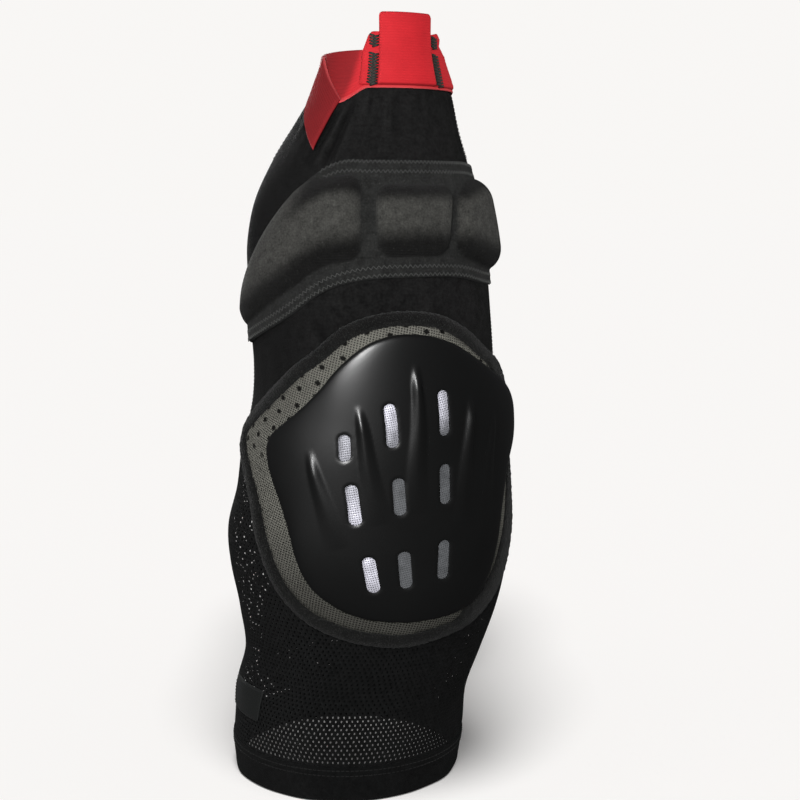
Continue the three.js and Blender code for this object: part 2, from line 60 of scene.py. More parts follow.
def addNode(tree, kind, settings=None, **inputs):
    # A node with its settings. Each input is named, or numbered as in i0, and is fed a value or a link.
    node = tree.nodes.new(kind)
    for key, value in (settings or {}).items():
        setattr(node, key, value)
    for key, value in inputs.items():
        numbered = key[0] == "i" and key[1:].isdigit()
        feed(tree, value, node.inputs[int(key[1:]) if numbered else key])
    return node


def math2(tree, operation, a, b=0.0, clamp=False):
    # One operation on two values.
    settings = {"operation": operation, "use_clamp": clamp}
    return addNode(tree, "ShaderNodeMath", settings, i0=a, i1=b).outputs[0]


def weighed(tree, a, shareA, b, shareB):
    # Two values times their shares, added.
    return math2(tree, "ADD", math2(tree, "MULTIPLY", a, shareA), math2(tree, "MULTIPLY", b, shareB))


def mixColour(tree, share, first, second):
    # The first colour at a share of nought, the second at a share of one.
    node = addNode(tree, "ShaderNodeMix", {"data_type": "RGBA"})
    sockets = [node.inputs[0]] + [socket for socket in node.inputs if socket.type == "RGBA"]
    for socket, value in zip(sockets, (share, first, second)):
        feed(tree, value, socket)
    return [socket for socket in node.outputs if socket.type == "RGBA"][0]


def addObject(name, data):
    # An object that holds some data, linked to the scene.
    thing = bpy.data.objects.new(name, data)
    scene.collection.objects.link(thing)
    return thing


# Camera, lights and floor

stage = {
    "camera": (-1.0178, -0.0125, -0.07176),
    "pitch": 8.5,                 # degrees below level
    "lens": 60, "sensor": 36,
    "floorZ": -0.4713, "floorSize": 80.0,
    "floorColour": (0.93, 0.915, 0.90), "floorBounce": (0.05, 0.05, 0.05), "floorGlow": 0.12,
    "floorSun": 2.75, "floorSunTilt": 18, "floorSunSpread": 28,   # the part's shadow falls in this light
    "skySeen": (0.942, 0.927, 0.911), "skyLight": (0.06, 0.06, 0.062),
    "lamps": [                    # name, place, size, watts, diffuse, gloss
        ("keyLamp", (-1.40, 0.04, 0.06), 0.3, 24, True, False),
        ("shineLamp", (-1.24, 0.58, 0.47), 0.5, 48, False, True),
        ("fillLamp", (-0.79, 0.94, 0.6), 0.8, 2, True, False),
        ("farLamp", (1.35, 0.5, 0.5), 0.6, 28, True, True),
        ("frontLamp", (0.75, -1.25, 0.35), 0.7, 24, True, False),
        ("rearLamp", (0.95, 1.15, 0.3), 0.7, 24, True, False),
    ],
    "aim": (0.0, 0.0, -0.22),
}


def makeCamera(s):
    # A camera that looks along +X, tipped down by the pitch.
    data = bpy.data.cameras.new("viewCamera")
    data.lens = s["lens"]
    data.sensor_width = s["sensor"]
    camera = addObject("viewCamera", data)
    camera.location = s["camera"]
    camera.rotation_euler = (math.radians(90 - s["pitch"]), 0, math.radians(-90))
    scene.camera = camera


def makeLamps(s):
    # Round lamps that face the aim: the tilt is the angle between straight down and the way to it.
    lamps = []
    for name, place, size, watts, diffuse, gloss in s["lamps"]:
        data = bpy.data.lights.new(name, "AREA")
        data.shape = "DISK"
        data.size = size
        data.energy = watts
        lamp = addObject(name, data)
        lamp.location = place
        lamp.visible_diffuse = diffuse
        lamp.visible_glossy = gloss
        way = np.array(s["aim"]) - np.array(place)
        tilt = math.atan2(math.hypot(way[0], way[1]), -way[2])
        lamp.rotation_euler = (tilt, 0, math.atan2(way[1], way[0]) - math.pi / 2)
        lamps.append(lamp)
    return lamps


def makeSky(s):
    # The camera sees a pale room, and the part is lit by a dim one.
    world = bpy.data.worlds.new("paleRoom")
    world.use_nodes = True
    tree = world.node_tree
    seen = addNode(tree, "ShaderNodeLightPath").outputs["Is Camera Ray"]
    feed(tree, mixColour(tree, seen, s["skyLight"], s["skySeen"]), tree.nodes["Background"].inputs["Color"])
    scene.world = world


def floorMaterial(s):
    # The camera sees a matt colour with a faint glow, other rays meet a darker matt one, and from
    # below the floor is clear.
    material = bpy.data.materials.new("floorPaint")
    material.use_nodes = True
    tree = material.node_tree
    matt = addNode(tree, "ShaderNodeBsdfDiffuse", Color=s["floorColour"]).outputs[0]
    glow = addNode(tree, "ShaderNodeEmission", Color=s["floorColour"], Strength=s["floorGlow"]).outputs[0]
    shown = addNode(tree, "ShaderNodeAddShader", i0=matt, i1=glow).outputs[0]
    bounce = addNode(tree, "ShaderNodeBsdfDiffuse", Color=s["floorBounce"]).outputs[0]
    seen = addNode(tree, "ShaderNodeLightPath").outputs["Is Camera Ray"]
    above = addNode(tree, "ShaderNodeMixShader", i0=seen, i1=bounce, i2=shown).outputs[0]
    behind = addNode(tree, "ShaderNodeNewGeometry").outputs["Backfacing"]
    clear = addNode(tree, "ShaderNodeBsdfTransparent").outputs[0]
    oneWay = addNode(tree, "ShaderNodeMixShader", i0=behind, i1=above, i2=clear).outputs[0]
    tree.links.new(oneWay, tree.nodes["Material Output"].inputs["Surface"])
    return material


def makeFloor(s, lamps):
    # A flat square. The sun lights it alone, and the lamps light everything else.
    half, z = s["floorSize"] / 2, s["floorZ"]
    corners = [(-half, -half, z), (half, -half, z), (half, half, z), (-half, half, z)]
    mesh = bpy.data.meshes.new("floor")
    mesh.from_pydata(corners, [], [(0, 1, 2, 3)])
    mesh.materials.append(floorMaterial(s))
    floor = addObject("floor", mesh)
    data = bpy.data.lights.new("floorSun", "SUN")
    data.energy = s["floorSun"]
    data.angle = math.radians(s["floorSunSpread"])
    sun = addObject("floorSun", data)
    sun.rotation_euler = (0, math.radians(-s["floorSunTilt"]), 0)
    lit = bpy.data.collections.new("floorOnly")
    lit.objects.link(floor)
    sun.light_linking.receiver_collection = lit
    unlit = bpy.data.collections.new("allButFloor")
    unlit.objects.link(floor)
    unlit.collection_objects[0].light_linking.link_state = "EXCLUDE"
    for lamp in lamps:
        lamp.light_linking.receiver_collection = unlit


makeCamera(stage)
stageLamps = makeLamps(stage)
makeSky(stage)
makeFloor(stage, stageLamps)
scene.view_settings.view_transform = "Standard"
print("camera, lamps and floor are set")

# Shader node groups that several cloths share

weave = {
    "level": 0.75, "overUnder": 0.25, "gapEdge": 2.2,      # crossing threads
    "slant": 0.5, "trough": 0.35,                          # knitted loops
    "broadDetail": 3.0, "fineDetail": 2.0, "leastTone": 0.05, "fleckEdge": 9.0,
}


def newGroup(name, inputs, outputs):
    # An empty node group with its value sockets; an input without a default is a vector.
    group = bpy.data.node_groups.new(name, "ShaderNodeTree")
    for label, value in inputs.items():
        kind = "NodeSocketVector" if value is None else "NodeSocketFloat"
        socket = group.interface.new_socket(name=label, in_out="INPUT", socket_type=kind)
        if value is not None:
            socket.default_value = value
    for label in outputs:
        group.interface.new_socket(name=label, in_out="OUTPUT", socket_type="NodeSocketFloat")
    return group, group.nodes.new("NodeGroupInput").outputs, group.nodes.new("NodeGroupOutput").inputs


def threadGridGroup(s):
    # Two crossing sets of round threads: each is highest on its own middle line, and they take
    # turns to lie on top, as the sign of the product of two cosines says.
    inputs = {"Vector": None, "Across": 1.0, "Along": 1.0, "Fill": 0.7}
    group, given, out = newGroup("threadGrid", inputs, ["Height", "Gap"])
    parts = addNode(group, "ShaderNodeSeparateXYZ", Vector=given["Vector"]).outputs
    cosines, offs = [], []
    for axis, pitch in ((0, "Across"), (1, "Along")):
        turn = math2(group, "DIVIDE", parts[axis], given[pitch])
        cosines.append(math2(group, "COSINE", math2(group, "MULTIPLY", turn, math.pi)))
        offs.append(math2(group, "MULTIPLY", math2(group, "PINGPONG", turn, 0.5), 2.0))
    turns = math2(group, "MULTIPLY", *cosines)
    tops = []
    for off, over in zip(offs, (s["overUnder"], -s["overUnder"])):
        away = math2(group, "DIVIDE", off, given["Fill"])
        body = math2(group, "SUBTRACT", 1.0, math2(group, "MULTIPLY", away, away), True)
        lift = math2(group, "ADD", s["level"], math2(group, "MULTIPLY", turns, over))
        tops.append(math2(group, "MULTIPLY", math2(group, "SQRT", body), lift))
    height = math2(group, "MAXIMUM", *tops)
    group.links.new(height, out["Height"])
    cover = math2(group, "MULTIPLY", height, s["gapEdge"], True)
    group.links.new(math2(group, "SUBTRACT", 1.0, cover, True), out["Gap"])
    return group


def knitGroup(s):
    # Columns of V-shaped loops: the distance along each column is bent by the distance from its
    # middle, and a sine of it makes the courses.
    group, given, out = newGroup("knitLoops", {"Vector": None, "Wale": 0.9, "Course": 0.8}, ["Height"])
    parts = addNode(group, "ShaderNodeSeparateXYZ", Vector=given["Vector"]).outputs
    wale = math2(group, "DIVIDE", parts[0], given["Wale"])
    off = math2(group, "MULTIPLY", math2(group, "PINGPONG", wale, 0.5), 2.0)
    straight = math2(group, "DIVIDE", parts[1], given["Course"])
    bent = math2(group, "ADD", straight, math2(group, "MULTIPLY", off, s["slant"]))
    course = math2(group, "SINE", math2(group, "MULTIPLY", bent, fullTurn))
    column = math2(group, "SINE", math2(group, "MULTIPLY", off, math.pi))
    half = math2(group, "MULTIPLY", math2(group, "ADD", course, 1.0), 0.5)
    height = math2(group, "MULTIPLY", half, math2(group, "ADD", s["trough"], column))
    group.links.new(height, out["Height"])
    return group


def mottleGroup(s):
    # Slow and fine noise on the piece's own coordinates, as one value around one, and a fleck
    # mask where the fine noise is highest.
    inputs = {"Broad": 40.0, "Fine": 900.0, "Amount": 0.3, "Flecks": 0.62}
    group, given, out = newGroup("clothMottle", inputs, ["Tone", "Fleck", "Height"])
    place = addNode(group, "ShaderNodeTexCoord").outputs["Object"]
    noises = [addNode(group, "ShaderNodeTexNoise", Vector=place, Scale=given[scale], Detail=s[detail])
              for scale, detail in (("Broad", "broadDetail"), ("Fine", "fineDetail"))]
    broad, fine = (noise.outputs[0] for noise in noises)
    both = math2(group, "ADD", math2(group, "SUBTRACT", broad, 0.5), math2(group, "SUBTRACT", fine, 0.5))
    tone = math2(group, "ADD", 1.0, math2(group, "MULTIPLY", both, given["Amount"]))
    group.links.new(math2(group, "MAXIMUM", tone, s["leastTone"]), out["Tone"])
    over = math2(group, "SUBTRACT", fine, given["Flecks"])
    group.links.new(math2(group, "MULTIPLY", over, s["fleckEdge"], True), out["Fleck"])
    group.links.new(fine, out["Height"])
    return group


groups = {group.name: group for group in (threadGridGroup(weave), knitGroup(weave), mottleGroup(weave))}


def useGroup(tree, name, **inputs):
    # A shared group placed in a material with its own values.
    return addNode(tree, "ShaderNodeGroup", {"node_tree": groups[name]}, **inputs).outputs


def startMaterial(name, s):
    # A material whose Principled shader takes plain values, with the shared mottle at its own scale.
    material = bpy.data.materials.new(name)
    material.use_nodes = True
    tree = material.node_tree
    shader = tree.nodes["Principled BSDF"]
    for key, value in s["shader"].items():
        shader.inputs[key].default_value = value
    return material, tree, shader, useGroup(tree, "clothMottle", **s["mottle"])


def attribute(tree, name):
    # The value that a piece's mesh stores under a name.
    return addNode(tree, "ShaderNodeAttribute", {"attribute_name": name}).outputs["Fac"]


def painted(tree, shader, colour, tone):
    # Base Color is a colour times a tone.
    scaled = addNode(tree, "ShaderNodeVectorMath", {"operation": "SCALE"}, i0=colour, Scale=tone).outputs[0]
    tree.links.new(scaled, shader.inputs["Base Color"])


def bumped(tree, shader, height, bump):
    # Relief from a height, as a distance in metres and a strength.
    distance, strength = bump
    node = addNode(tree, "ShaderNodeBump", Strength=strength, Distance=distance, Height=height)
    tree.links.new(node.outputs[0], shader.inputs["Normal"])


def uvPlace(tree):
    # The piece's own map, in millimetres along the cloth.
    return addNode(tree, "ShaderNodeTexCoord").outputs["UV"]


def turnedPlace(tree, degrees):
    # The piece's own map, turned.
    turn = (0, 0, math.radians(degrees))
    return addNode(tree, "ShaderNodeMapping", Vector=uvPlace(tree), Rotation=turn).outputs[0]


knit = {
    "shader": {"Roughness": 0.92, "Sheen Weight": 0.02, "Sheen Roughness": 0.5, "Specular IOR Level": 0.04},
    "mottle": {"Broad": 210.0, "Fine": 560.0, "Amount": 1.7},
    # The last number sets how dark the stored painted shade makes the knit.
    "wale": 0.9, "course": 0.8, "paintedShadeStrength": 0.7, "noiseBump": 0.5, "bump": (0.00035, 0.8),
}
thread = {
    "shader": {"Roughness": 0.75, "Sheen Weight": 0.03, "Specular IOR Level": 0.08},
    "mottle": {"Broad": 300.0, "Fine": 2600.0, "Amount": 0.7}, "bump": (0.0002, 0.7),
}
finishes = {
    "redElastic": {
        "shader": {"Roughness": 0.78, "Sheen Weight": 0.02, "Specular IOR Level": 0.08},
        "mottle": {"Broad": 60.0, "Fine": 1400.0, "Amount": 0.32},
        "red": (0.47, 0.0175, 0.0235), "shade": (0.36, 0.01, 0.016),
        # The dull red is the colour of the painted shade on the waistband and its fold.
        "selvedge": (0.52, 0.07, 0.075), "dull": (0.155, 0.0075, 0.0095),
        "rib": 1.75, "thread": 0.8, "fill": 0.95, "ribTint": 0.6, "evenness": 0.78,
        "ribBump": 0.4, "threadBump": 0.6, "bump": (0.00022, 0.7)},
    "padCloth": {
        "shader": {"Roughness": 0.95, "Sheen Weight": 0.03, "Sheen Roughness": 0.6,
                   "Specular IOR Level": 0.05},
        "mottle": {"Broad": 190.0, "Fine": 760.0, "Amount": 1.2, "Flecks": 0.66},
        "charcoal": (0.040, 0.0395, 0.0362), "fleck": (0.06, 0.0595, 0.056),
        # hollow is the colour of the painted shade on the chambers' walls.
        "seam": (0.0145, 0.0148, 0.0142), "hollow": (0.003, 0.003, 0.0029),
        "wale": 1.1, "course": 0.9, "shadeShare": 0.95, "fleckShare": 0.25,
        "loopBump": 0.6, "bump": (0.0004, 0.8)},
    "spacerMesh": {
        "shader": {"Roughness": 0.9, "Specular IOR Level": 0.06},
        "mottle": {"Broad": 45.0, "Fine": 600.0, "Amount": 0.5},
        "thread": (0.105, 0.103, 0.090), "gap": (0.021, 0.0205, 0.018), "pit": (0.005, 0.005, 0.0045),
        "turn": -14, "pitch": 1.6, "stretch": 1.2, "fill": 0.52,
        "dots": 11.0, "dotShape": (0.85, 1.1), "dotStray": 0.3, "dotSize": 0.12, "dotEdge": 14.0,
        "low": -332.0, "high": -268.0, "least": 0.53, "rise": 0.74,   # painted light: threads paler towards the top
        "pitLow": -252.0, "pitHigh": -232.0, "pitDepth": 1.2, "bump": (0.0006, 1.0)},
    "bindingPile": {
        "shader": {"Roughness": 1.0, "Sheen Weight": 0.06, "Sheen Roughness": 0.45,
                   "Specular IOR Level": 0.03},
        "mottle": {"Broad": 160.0, "Fine": 1500.0, "Amount": 0.8, "Flecks": 0.56},
        "black": (0.0065, 0.0066, 0.0064), "fibre": (0.019, 0.0193, 0.0183), "bump": (0.0009, 1.0)},
    "silverCloth": {
        "shader": {"Metallic": 0.25, "Roughness": 0.5, "Specular IOR Level": 0.3},
        "mottle": {"Broad": 160.0, "Fine": 1300.0, "Amount": 0.9},
        # The bright silver and its gap colour make a painted highlight; the duller pair is the plain weave.
        "silver": (0.58, 0.575, 0.645), "gap": (0.13, 0.13, 0.15),
        "rubbed": (0.108, 0.112, 0.118), "rubbedGap": (0.07, 0.073, 0.077),
        "turn": 12, "pitch": 1.45, "stretch": 0.9, "fill": 0.55, "bump": (0.00025, 0.7)},
    "shellPlastic": {
        "shader": {"Specular IOR Level": 0.36},
        "mottle": {"Broad": 28.0, "Fine": 1500.0, "Amount": 0.35},
        "black": (0.0042, 0.0043, 0.0043), "rough": 0.27, "roughChange": 0.1, "bump": (0.00008, 0.6)},
    "labelSatin": {
        "shader": {"Roughness": 0.6, "Sheen Weight": 0.02, "Specular IOR Level": 0.12},
        "mottle": {"Broad": 60.0, "Fine": 1300.0, "Amount": 0.4},
        "ground": (0.006, 0.0068, 0.0065), "pitch": 0.7, "stretch": 0.7, "fill": 0.95,
        "bump": (0.00025, 0.7)},
    "blackJersey": {**knit, "black": (0.0074, 0.0074, 0.0073), "wale": 0.95, "course": 0.85},
    "legNet": {**knit, "black": (0.004, 0.0042, 0.0042)},
    "hemJersey": {**knit, "black": (0.003, 0.0032, 0.0032)},
    "darkThread": {**thread, "colour": (0.011, 0.0112, 0.011)},
    "padThread": {**thread, "colour": (0.05, 0.051, 0.049)},
    "barThread": {**thread, "colour": (0.017, 0.0165, 0.0145)},
}


def redElasticMaterial(name, s):
    # Ribbed elastic: a sine along the cloth's height for the ribs, crossed by fine threads, with painted
    # shade in the ribs' troughs. Stored values paint a darker red shade at the back beside the fold and on
    # the fold, and make it pale along its selvedges.
    material, tree, shader, mottle = startMaterial(name, s)
    uv = uvPlace(tree)
    high = addNode(tree, "ShaderNodeSeparateXYZ", Vector=uv).outputs[1]
    rib = math2(tree, "SINE", math2(tree, "MULTIPLY", high, fullTurn / s["rib"]))
    grid = useGroup(tree, "threadGrid", Vector=uv, Across=s["thread"], Along=s["rib"] / 2, Fill=s["fill"])
    # Painted shade: the ribs' troughs take the darker shade colour.
    ribShare = math2(tree, "MULTIPLY", math2(tree, "ADD", rib, 1.0), s["ribTint"] / 2)
    ribbed = mixColour(tree, ribShare, s["shade"], s["red"])
    ground = mixColour(tree, s["evenness"], ribbed, s["red"])
    dulled = mixColour(tree, attribute(tree, "dull"), ground, s["dull"])
    painted(tree, shader, mixColour(tree, attribute(tree, "selvedge"), dulled, s["selvedge"]), mottle["Tone"])
    bumped(tree, shader, weighed(tree, rib, s["ribBump"], grid["Height"], s["threadBump"]), s["bump"])
    return material


def jerseyMaterial(name, s):
    # Black knit: loops for relief, slow and fine changes of tone, and painted shade where a crease or the
    # seat side is stored.
    material, tree, shader, mottle = startMaterial(name, s)
    loops = useGroup(tree, "knitLoops", Vector=uvPlace(tree), Wale=s["wale"], Course=s["course"])
    dark = math2(tree, "MULTIPLY", attribute(tree, "crease"), s["paintedShadeStrength"])
    tone = math2(tree, "MULTIPLY", mottle["Tone"], math2(tree, "SUBTRACT", 1.0, dark))
    painted(tree, shader, s["black"], tone)
    bumped(tree, shader, weighed(tree, loops["Height"], 1.0, mottle["Height"], s["noiseBump"]), s["bump"])
    return material


def padClothMaterial(name, s):
    # Brushed charcoal cloth with paler flecks where the fine noise peaks; stored values darken its flat
    # seams, and paint shade on the walls of its chambers.
    material, tree, shader, mottle = startMaterial(name, s)
    loops = useGroup(tree, "knitLoops", Vector=uvPlace(tree), Wale=s["wale"], Course=s["course"])
    shade = math2(tree, "MULTIPLY", attribute(tree, "shade"), s["shadeShare"])
    shaded = mixColour(tree, shade, s["charcoal"], s["hollow"])
    ground = mixColour(tree, attribute(tree, "seam"), shaded, s["seam"])
    fleck = math2(tree, "MULTIPLY", mottle["Fleck"], s["fleckShare"])
    painted(tree, shader, mixColour(tree, fleck, ground, s["fleck"]), mottle["Tone"])
    bumped(tree, shader, weighed(tree, loops["Height"], s["loopBump"], mottle["Height"], 1.0), s["bump"])
    return material


def spacerMeshMaterial(name, s):
    # Open grid of olive threads over dark foam, with small dark pits at the corners of a wider grid. The
    # threads get painted light that grows with height, and the pits grow with height too.
    material, tree, shader, mottle = startMaterial(name, s)
    turned = turnedPlace(tree, s["turn"])
    grid = useGroup(tree, "threadGrid", Vector=turned, Across=s["pitch"] * s["stretch"], Along=s["pitch"],
                    Fill=s["fill"])
    scale = (s["dotShape"][0] / s["dots"], s["dotShape"][1] / s["dots"], 1)
    wide = addNode(tree, "ShaderNodeMapping", Vector=turned, Scale=scale).outputs[0]
    away = addNode(tree, "ShaderNodeTexVoronoi", {"feature": "F1", "voronoi_dimensions": "2D"},
                   Vector=wide, Scale=1.0, Randomness=s["dotStray"]).outputs["Distance"]
    off = math2(tree, "MULTIPLY", math2(tree, "SUBTRACT", away, s["dotSize"]), s["dotEdge"], True)
    high = addNode(tree, "ShaderNodeSeparateXYZ", Vector=uvPlace(tree)).outputs[1]
    fade, pitted = (addNode(tree, "ShaderNodeMapRange", Value=high,
                            **{"From Min": s[low], "From Max": s[top]}).outputs[0]
                    for low, top in (("low", "high"), ("pitLow", "pitHigh")))
    pit = math2(tree, "MULTIPLY", math2(tree, "SUBTRACT", 1.0, off, True), pitted)
    woven = mixColour(tree, grid["Gap"], s["thread"], s["gap"])
    pale = math2(tree, "ADD", s["least"], math2(tree, "MULTIPLY", fade, s["rise"]))
    tone = math2(tree, "MULTIPLY", mottle["Tone"], pale)
    painted(tree, shader, mixColour(tree, pit, woven, s["pit"]), tone)
    bumped(tree, shader, weighed(tree, grid["Height"], 1.0, pit, -s["pitDepth"]), s["bump"])
    return material


def bindingMaterial(name, s):
    # Fuzzy black pile: fine noise for both the fibres' tone and the relief.
    material, tree, shader, mottle = startMaterial(name, s)
    painted(tree, shader, mixColour(tree, mottle["Fleck"], s["black"], s["fibre"]), mottle["Tone"])
    bumped(tree, shader, mottle["Height"], s["bump"])
    return material


def silverClothMaterial(name, s):
    # Silver weave with a little metal in it: bright threads and greyer gaps as a painted highlight, and a
    # stored share that turns it to the plain, duller weave.
    material, tree, shader, mottle = startMaterial(name, s)
    grid = useGroup(tree, "threadGrid", Vector=turnedPlace(tree, s["turn"]), Across=s["pitch"] * s["stretch"],
                    Along=s["pitch"], Fill=s["fill"])
    highlightWeave = mixColour(tree, grid["Gap"], s["silver"], s["gap"])
    plainWeave = mixColour(tree, grid["Gap"], s["rubbed"], s["rubbedGap"])
    painted(tree, shader, mixColour(tree, attribute(tree, "rubbed"), highlightWeave, plainWeave), mottle["Tone"])
    bumped(tree, shader, grid["Height"], s["bump"])
    return material


def shellMaterial(name, s):
    # Satin moulded plastic: a faint moulded grain, and a roughness that changes slowly.
    material, tree, shader, mottle = startMaterial(name, s)
    painted(tree, shader, s["black"], mottle["Tone"])
    change = math2(tree, "MULTIPLY", mottle["Tone"], s["roughChange"])
    tree.links.new(math2(tree, "ADD", s["rough"], change), shader.inputs["Roughness"])
    bumped(tree, shader, mottle["Height"], s["bump"])
    return material


def labelMaterial(name, s):
    # Close satin weave: crossing threads for relief, and a mottled tone.
    material, tree, shader, mottle = startMaterial(name, s)
    grid = useGroup(tree, "threadGrid", Vector=uvPlace(tree), Across=s["pitch"],
                    Along=s["pitch"] * s["stretch"], Fill=s["fill"])
    painted(tree, shader, s["ground"], mottle["Tone"])
    bumped(tree, shader, grid["Height"], s["bump"])
    return material


def threadMaterial(name, s):
    # Sewing thread: fine noise for its fibres, and a stored value that paints highlight and shade along each
    # stitch.
    material, tree, shader, mottle = startMaterial(name, s)
    ply = math2(tree, "ADD", 1.0, attribute(tree, "ply"))
    painted(tree, shader, s["colour"], math2(tree, "MULTIPLY", mottle["Tone"], ply))
    bumped(tree, shader, mottle["Height"], s["bump"])
    return material


makers = {
    "redElastic": redElasticMaterial, "padCloth": padClothMaterial, "spacerMesh": spacerMeshMaterial,
    "bindingPile": bindingMaterial, "silverCloth": silverClothMaterial, "shellPlastic": shellMaterial,
    "labelSatin": labelMaterial,
    "blackJersey": jerseyMaterial, "legNet": jerseyMaterial, "hemJersey": jerseyMaterial,
    "darkThread": threadMaterial, "padThread": threadMaterial, "barThread": threadMaterial,
}
materials = {name: maker(name, finishes[name]) for name, maker in makers.items()}
print("materials made:", len(materials))

# The body's surface: a table of sections from the top down

bodyShape = {
    "legCentre": 95.0,
    "rows": np.array([            # z, front, back, side, inner, square
        (50, -40, 38, -138, 60, 4), (24, -40.5, 38.5, -138, 60, 4), (0, -46.5, 46.5, -141, 60, 4),
        (-20, -51, 58.5, -149, 58, 4), (-45, -58.5, 74.5, -160, 52, 3.8), (-72, -65.5, 87.5, -169, 46, 3.6),
        (-98, -70.5, 92.5, -174, 40, 3.4), (-126, -73.5, 91.5, -177, 32, 3.2),
        (-154, -75.5, 90.5, -178, 24, 3), (-182, -77, 89.5, -178.5, 14, 2.8),
        (-210, -79.5, 91, -179.5, 3.5, 2.5), (-240, -81, 97.5, -181, -6, 2.3),
        (-268, -83.5, 102, -181.5, -7, 2.2), (-296, -86.5, 108, -181, -8, 2.1),
        (-325, -86, 106.5, -179, -10, 2), (-354, -80, 100.5, -175, -13, 2), (-384, -70.5, 96, -171, -16, 2),
        (-414, -61, 104, -170, -18, 2), (-447, -56.5, 106.5, -171, -19, 2), (-471, -53, 105.5, -171, -19, 2),
    ], float),
    "probe": 0.05,                # small step that finds a surface's direction
    "bridge": 34.0, "bridgeLow": -185.0, "bridgeHigh": -95.0,   # half width of the flat curve at the middle
}


def hermite(start, startRun, end, endRun, u):
    # A cubic from a start to an end, with the rise that each end's slope would give over the whole way.
    first = start * (1 + 2 * u) * (1 - u) ** 2 + startRun * u * (1 - u) ** 2
    return first + end * u * u * (3 - 2 * u) + endRun * u * u * (u - 1)


def curveThrough(keys, values, at):
    # A cubic between neighbouring rows, whose slope at each row is the mean of the slopes on its two sides.
    order = np.argsort(keys)
    keys, values = np.asarray(keys, float)[order], np.asarray(values, float)[order]
    step = np.diff(values) / np.diff(keys)
    slope = np.concatenate([step[:1], (step[1:] + step[:-1]) / 2, step[-1:]])
    at = np.clip(at, keys[0], keys[-1])
    i = np.clip(np.searchsorted(keys, at, side="right") - 1, 0, len(keys) - 2)
    run = keys[i + 1] - keys[i]
    return hermite(values[i], slope[i] * run, values[i + 1], slope[i + 1] * run, (at - keys[i]) / run)


def sectionAt(z):
    # Front, back, side, inner and square of the section at a height, on a curve through the rows.
    rows = bodyShape["rows"]
    return [curveThrough(rows[:, 0], rows[:, k], z) for k in range(1, 6)]


def bodyPoint(angle, z):
    # Half an ellipse on the outer side and half a rounded square on the inner side, both as
    # deep as the section. The angle is 0 sideways, -90 at the front and 90 at the back.
    angle, z = np.broadcast_arrays(np.asarray(angle, float), np.asarray(z, float))
    across, fore = np.cos(np.radians(angle)), np.sin(np.radians(angle))
    front, back, side, inner, square = sectionAt(z)
    centre = bodyShape["legCentre"]
    outside = across >= 0
    reach = np.where(outside, -centre - side, inner + centre)
    power = np.where(outside, 1, 2 / square)
    x = -centre - reach * np.sign(across) * np.abs(across) ** power
    y = (front + back) / 2 + (back - front) / 2 * np.sign(fore) * np.abs(fore) ** power
    return np.stack([x, y, z], -1)


def unit(vectors):
    # Each vector divided by its length.
    return vectors / np.maximum(np.linalg.norm(vectors, axis=-1, keepdims=True), 1e-9)


def bodyNormal(angle, z):
    # The cross product of two small steps on the surface, up and round.
    h = bodyShape["probe"]
    around = bodyPoint(angle + h, z) - bodyPoint(angle - h, z)
    up = bodyPoint(angle, z + h) - bodyPoint(angle, z - h)
    return unit(np.cross(up, around))


def onBody(angle, z, height):
    # The body's surface moved out along its normal by a height.
    return bodyPoint(angle, z) + bodyNormal(angle, z) * np.asarray(height, float)[..., None]


def smoothStep(value, low, high):
    # Nought below low, one above high and a smooth cubic between.
    u = np.clip((value - low) / (high - low), 0, 1)
    return u * u * (3 - 2 * u)


def waves(u, v, terms):
    # A sum of sines, each given by its length along u, its length along v, its shift and its size.
    return sum(size * np.sin(fullTurn * (u / lu + v / lv) + shift) for lu, lv, shift, size in terms)


def roundWaves(share, z, terms):
    # A sum of sines that meets itself after one turn: whole turns, length along z, shift and size.
    return sum(size * np.sin(fullTurn * (turns * share + z / length) + shift)
               for turns, length, shift, size in terms)


# Making meshes from arrays. A shape is its points, quads, triangles, map and stored values

noTris = np.zeros((0, 3), int)


def makeObject(name, shape, material, sharp=50, closed=True):
    # Corners of all faces in one list. A closed mesh is turned right side out if the sum of its
    # triangles' volumes is negative.
    verts, quads, tris, uv, stored = shape
    if closed:
        triangles = np.concatenate([quads[:, [0, 1, 2]], quads[:, [0, 2, 3]], tris])
        a, b, c = (verts[triangles[:, k]] for k in range(3))
        if np.einsum("ij,ij->", a, np.cross(b, c)) < 0:
            quads, tris = quads[:, ::-1], tris[:, ::-1]
            if uv is not None and uv.ndim == 3:
                uv = uv[:, ::-1]
    corners = np.concatenate([quads.ravel(), tris.ravel()])
    starts = np.concatenate([np.arange(len(quads)) * 4, len(quads) * 4 + np.arange(len(tris)) * 3])
    mesh = bpy.data.meshes.new(name)
    mesh.vertices.add(len(verts))
    mesh.vertices.foreach_set("co", (verts * toMetres).ravel())
    mesh.loops.add(len(corners))
    mesh.loops.foreach_set("vertex_index", corners)
    mesh.polygons.add(len(starts))
    mesh.polygons.foreach_set("loop_start", starts)
    mesh.update(calc_edges=True)
    if uv is not None:
        layer = mesh.uv_layers.new(name="clothMap")
        flat = uv.reshape(-1, 2) if uv.ndim == 3 else uv[corners]
        layer.data.foreach_set("uv", flat.astype(float).ravel())
    for label, values in stored.items():
        mesh.attributes.new(label, "FLOAT", "POINT").data.foreach_set("value", values.astype(float))
    mesh.polygons.foreach_set("use_smooth", np.ones(len(starts), bool))
    mesh.set_sharp_from_angle(angle=math.radians(sharp))
    mesh.materials.append(materials[material])
    mesh.validate()
    return addObject(name, mesh)


def setPiece(piece, slot, *nodes):
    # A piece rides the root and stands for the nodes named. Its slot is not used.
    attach(piece, "root")
    if nodes:
        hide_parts(*nodes)
    return piece


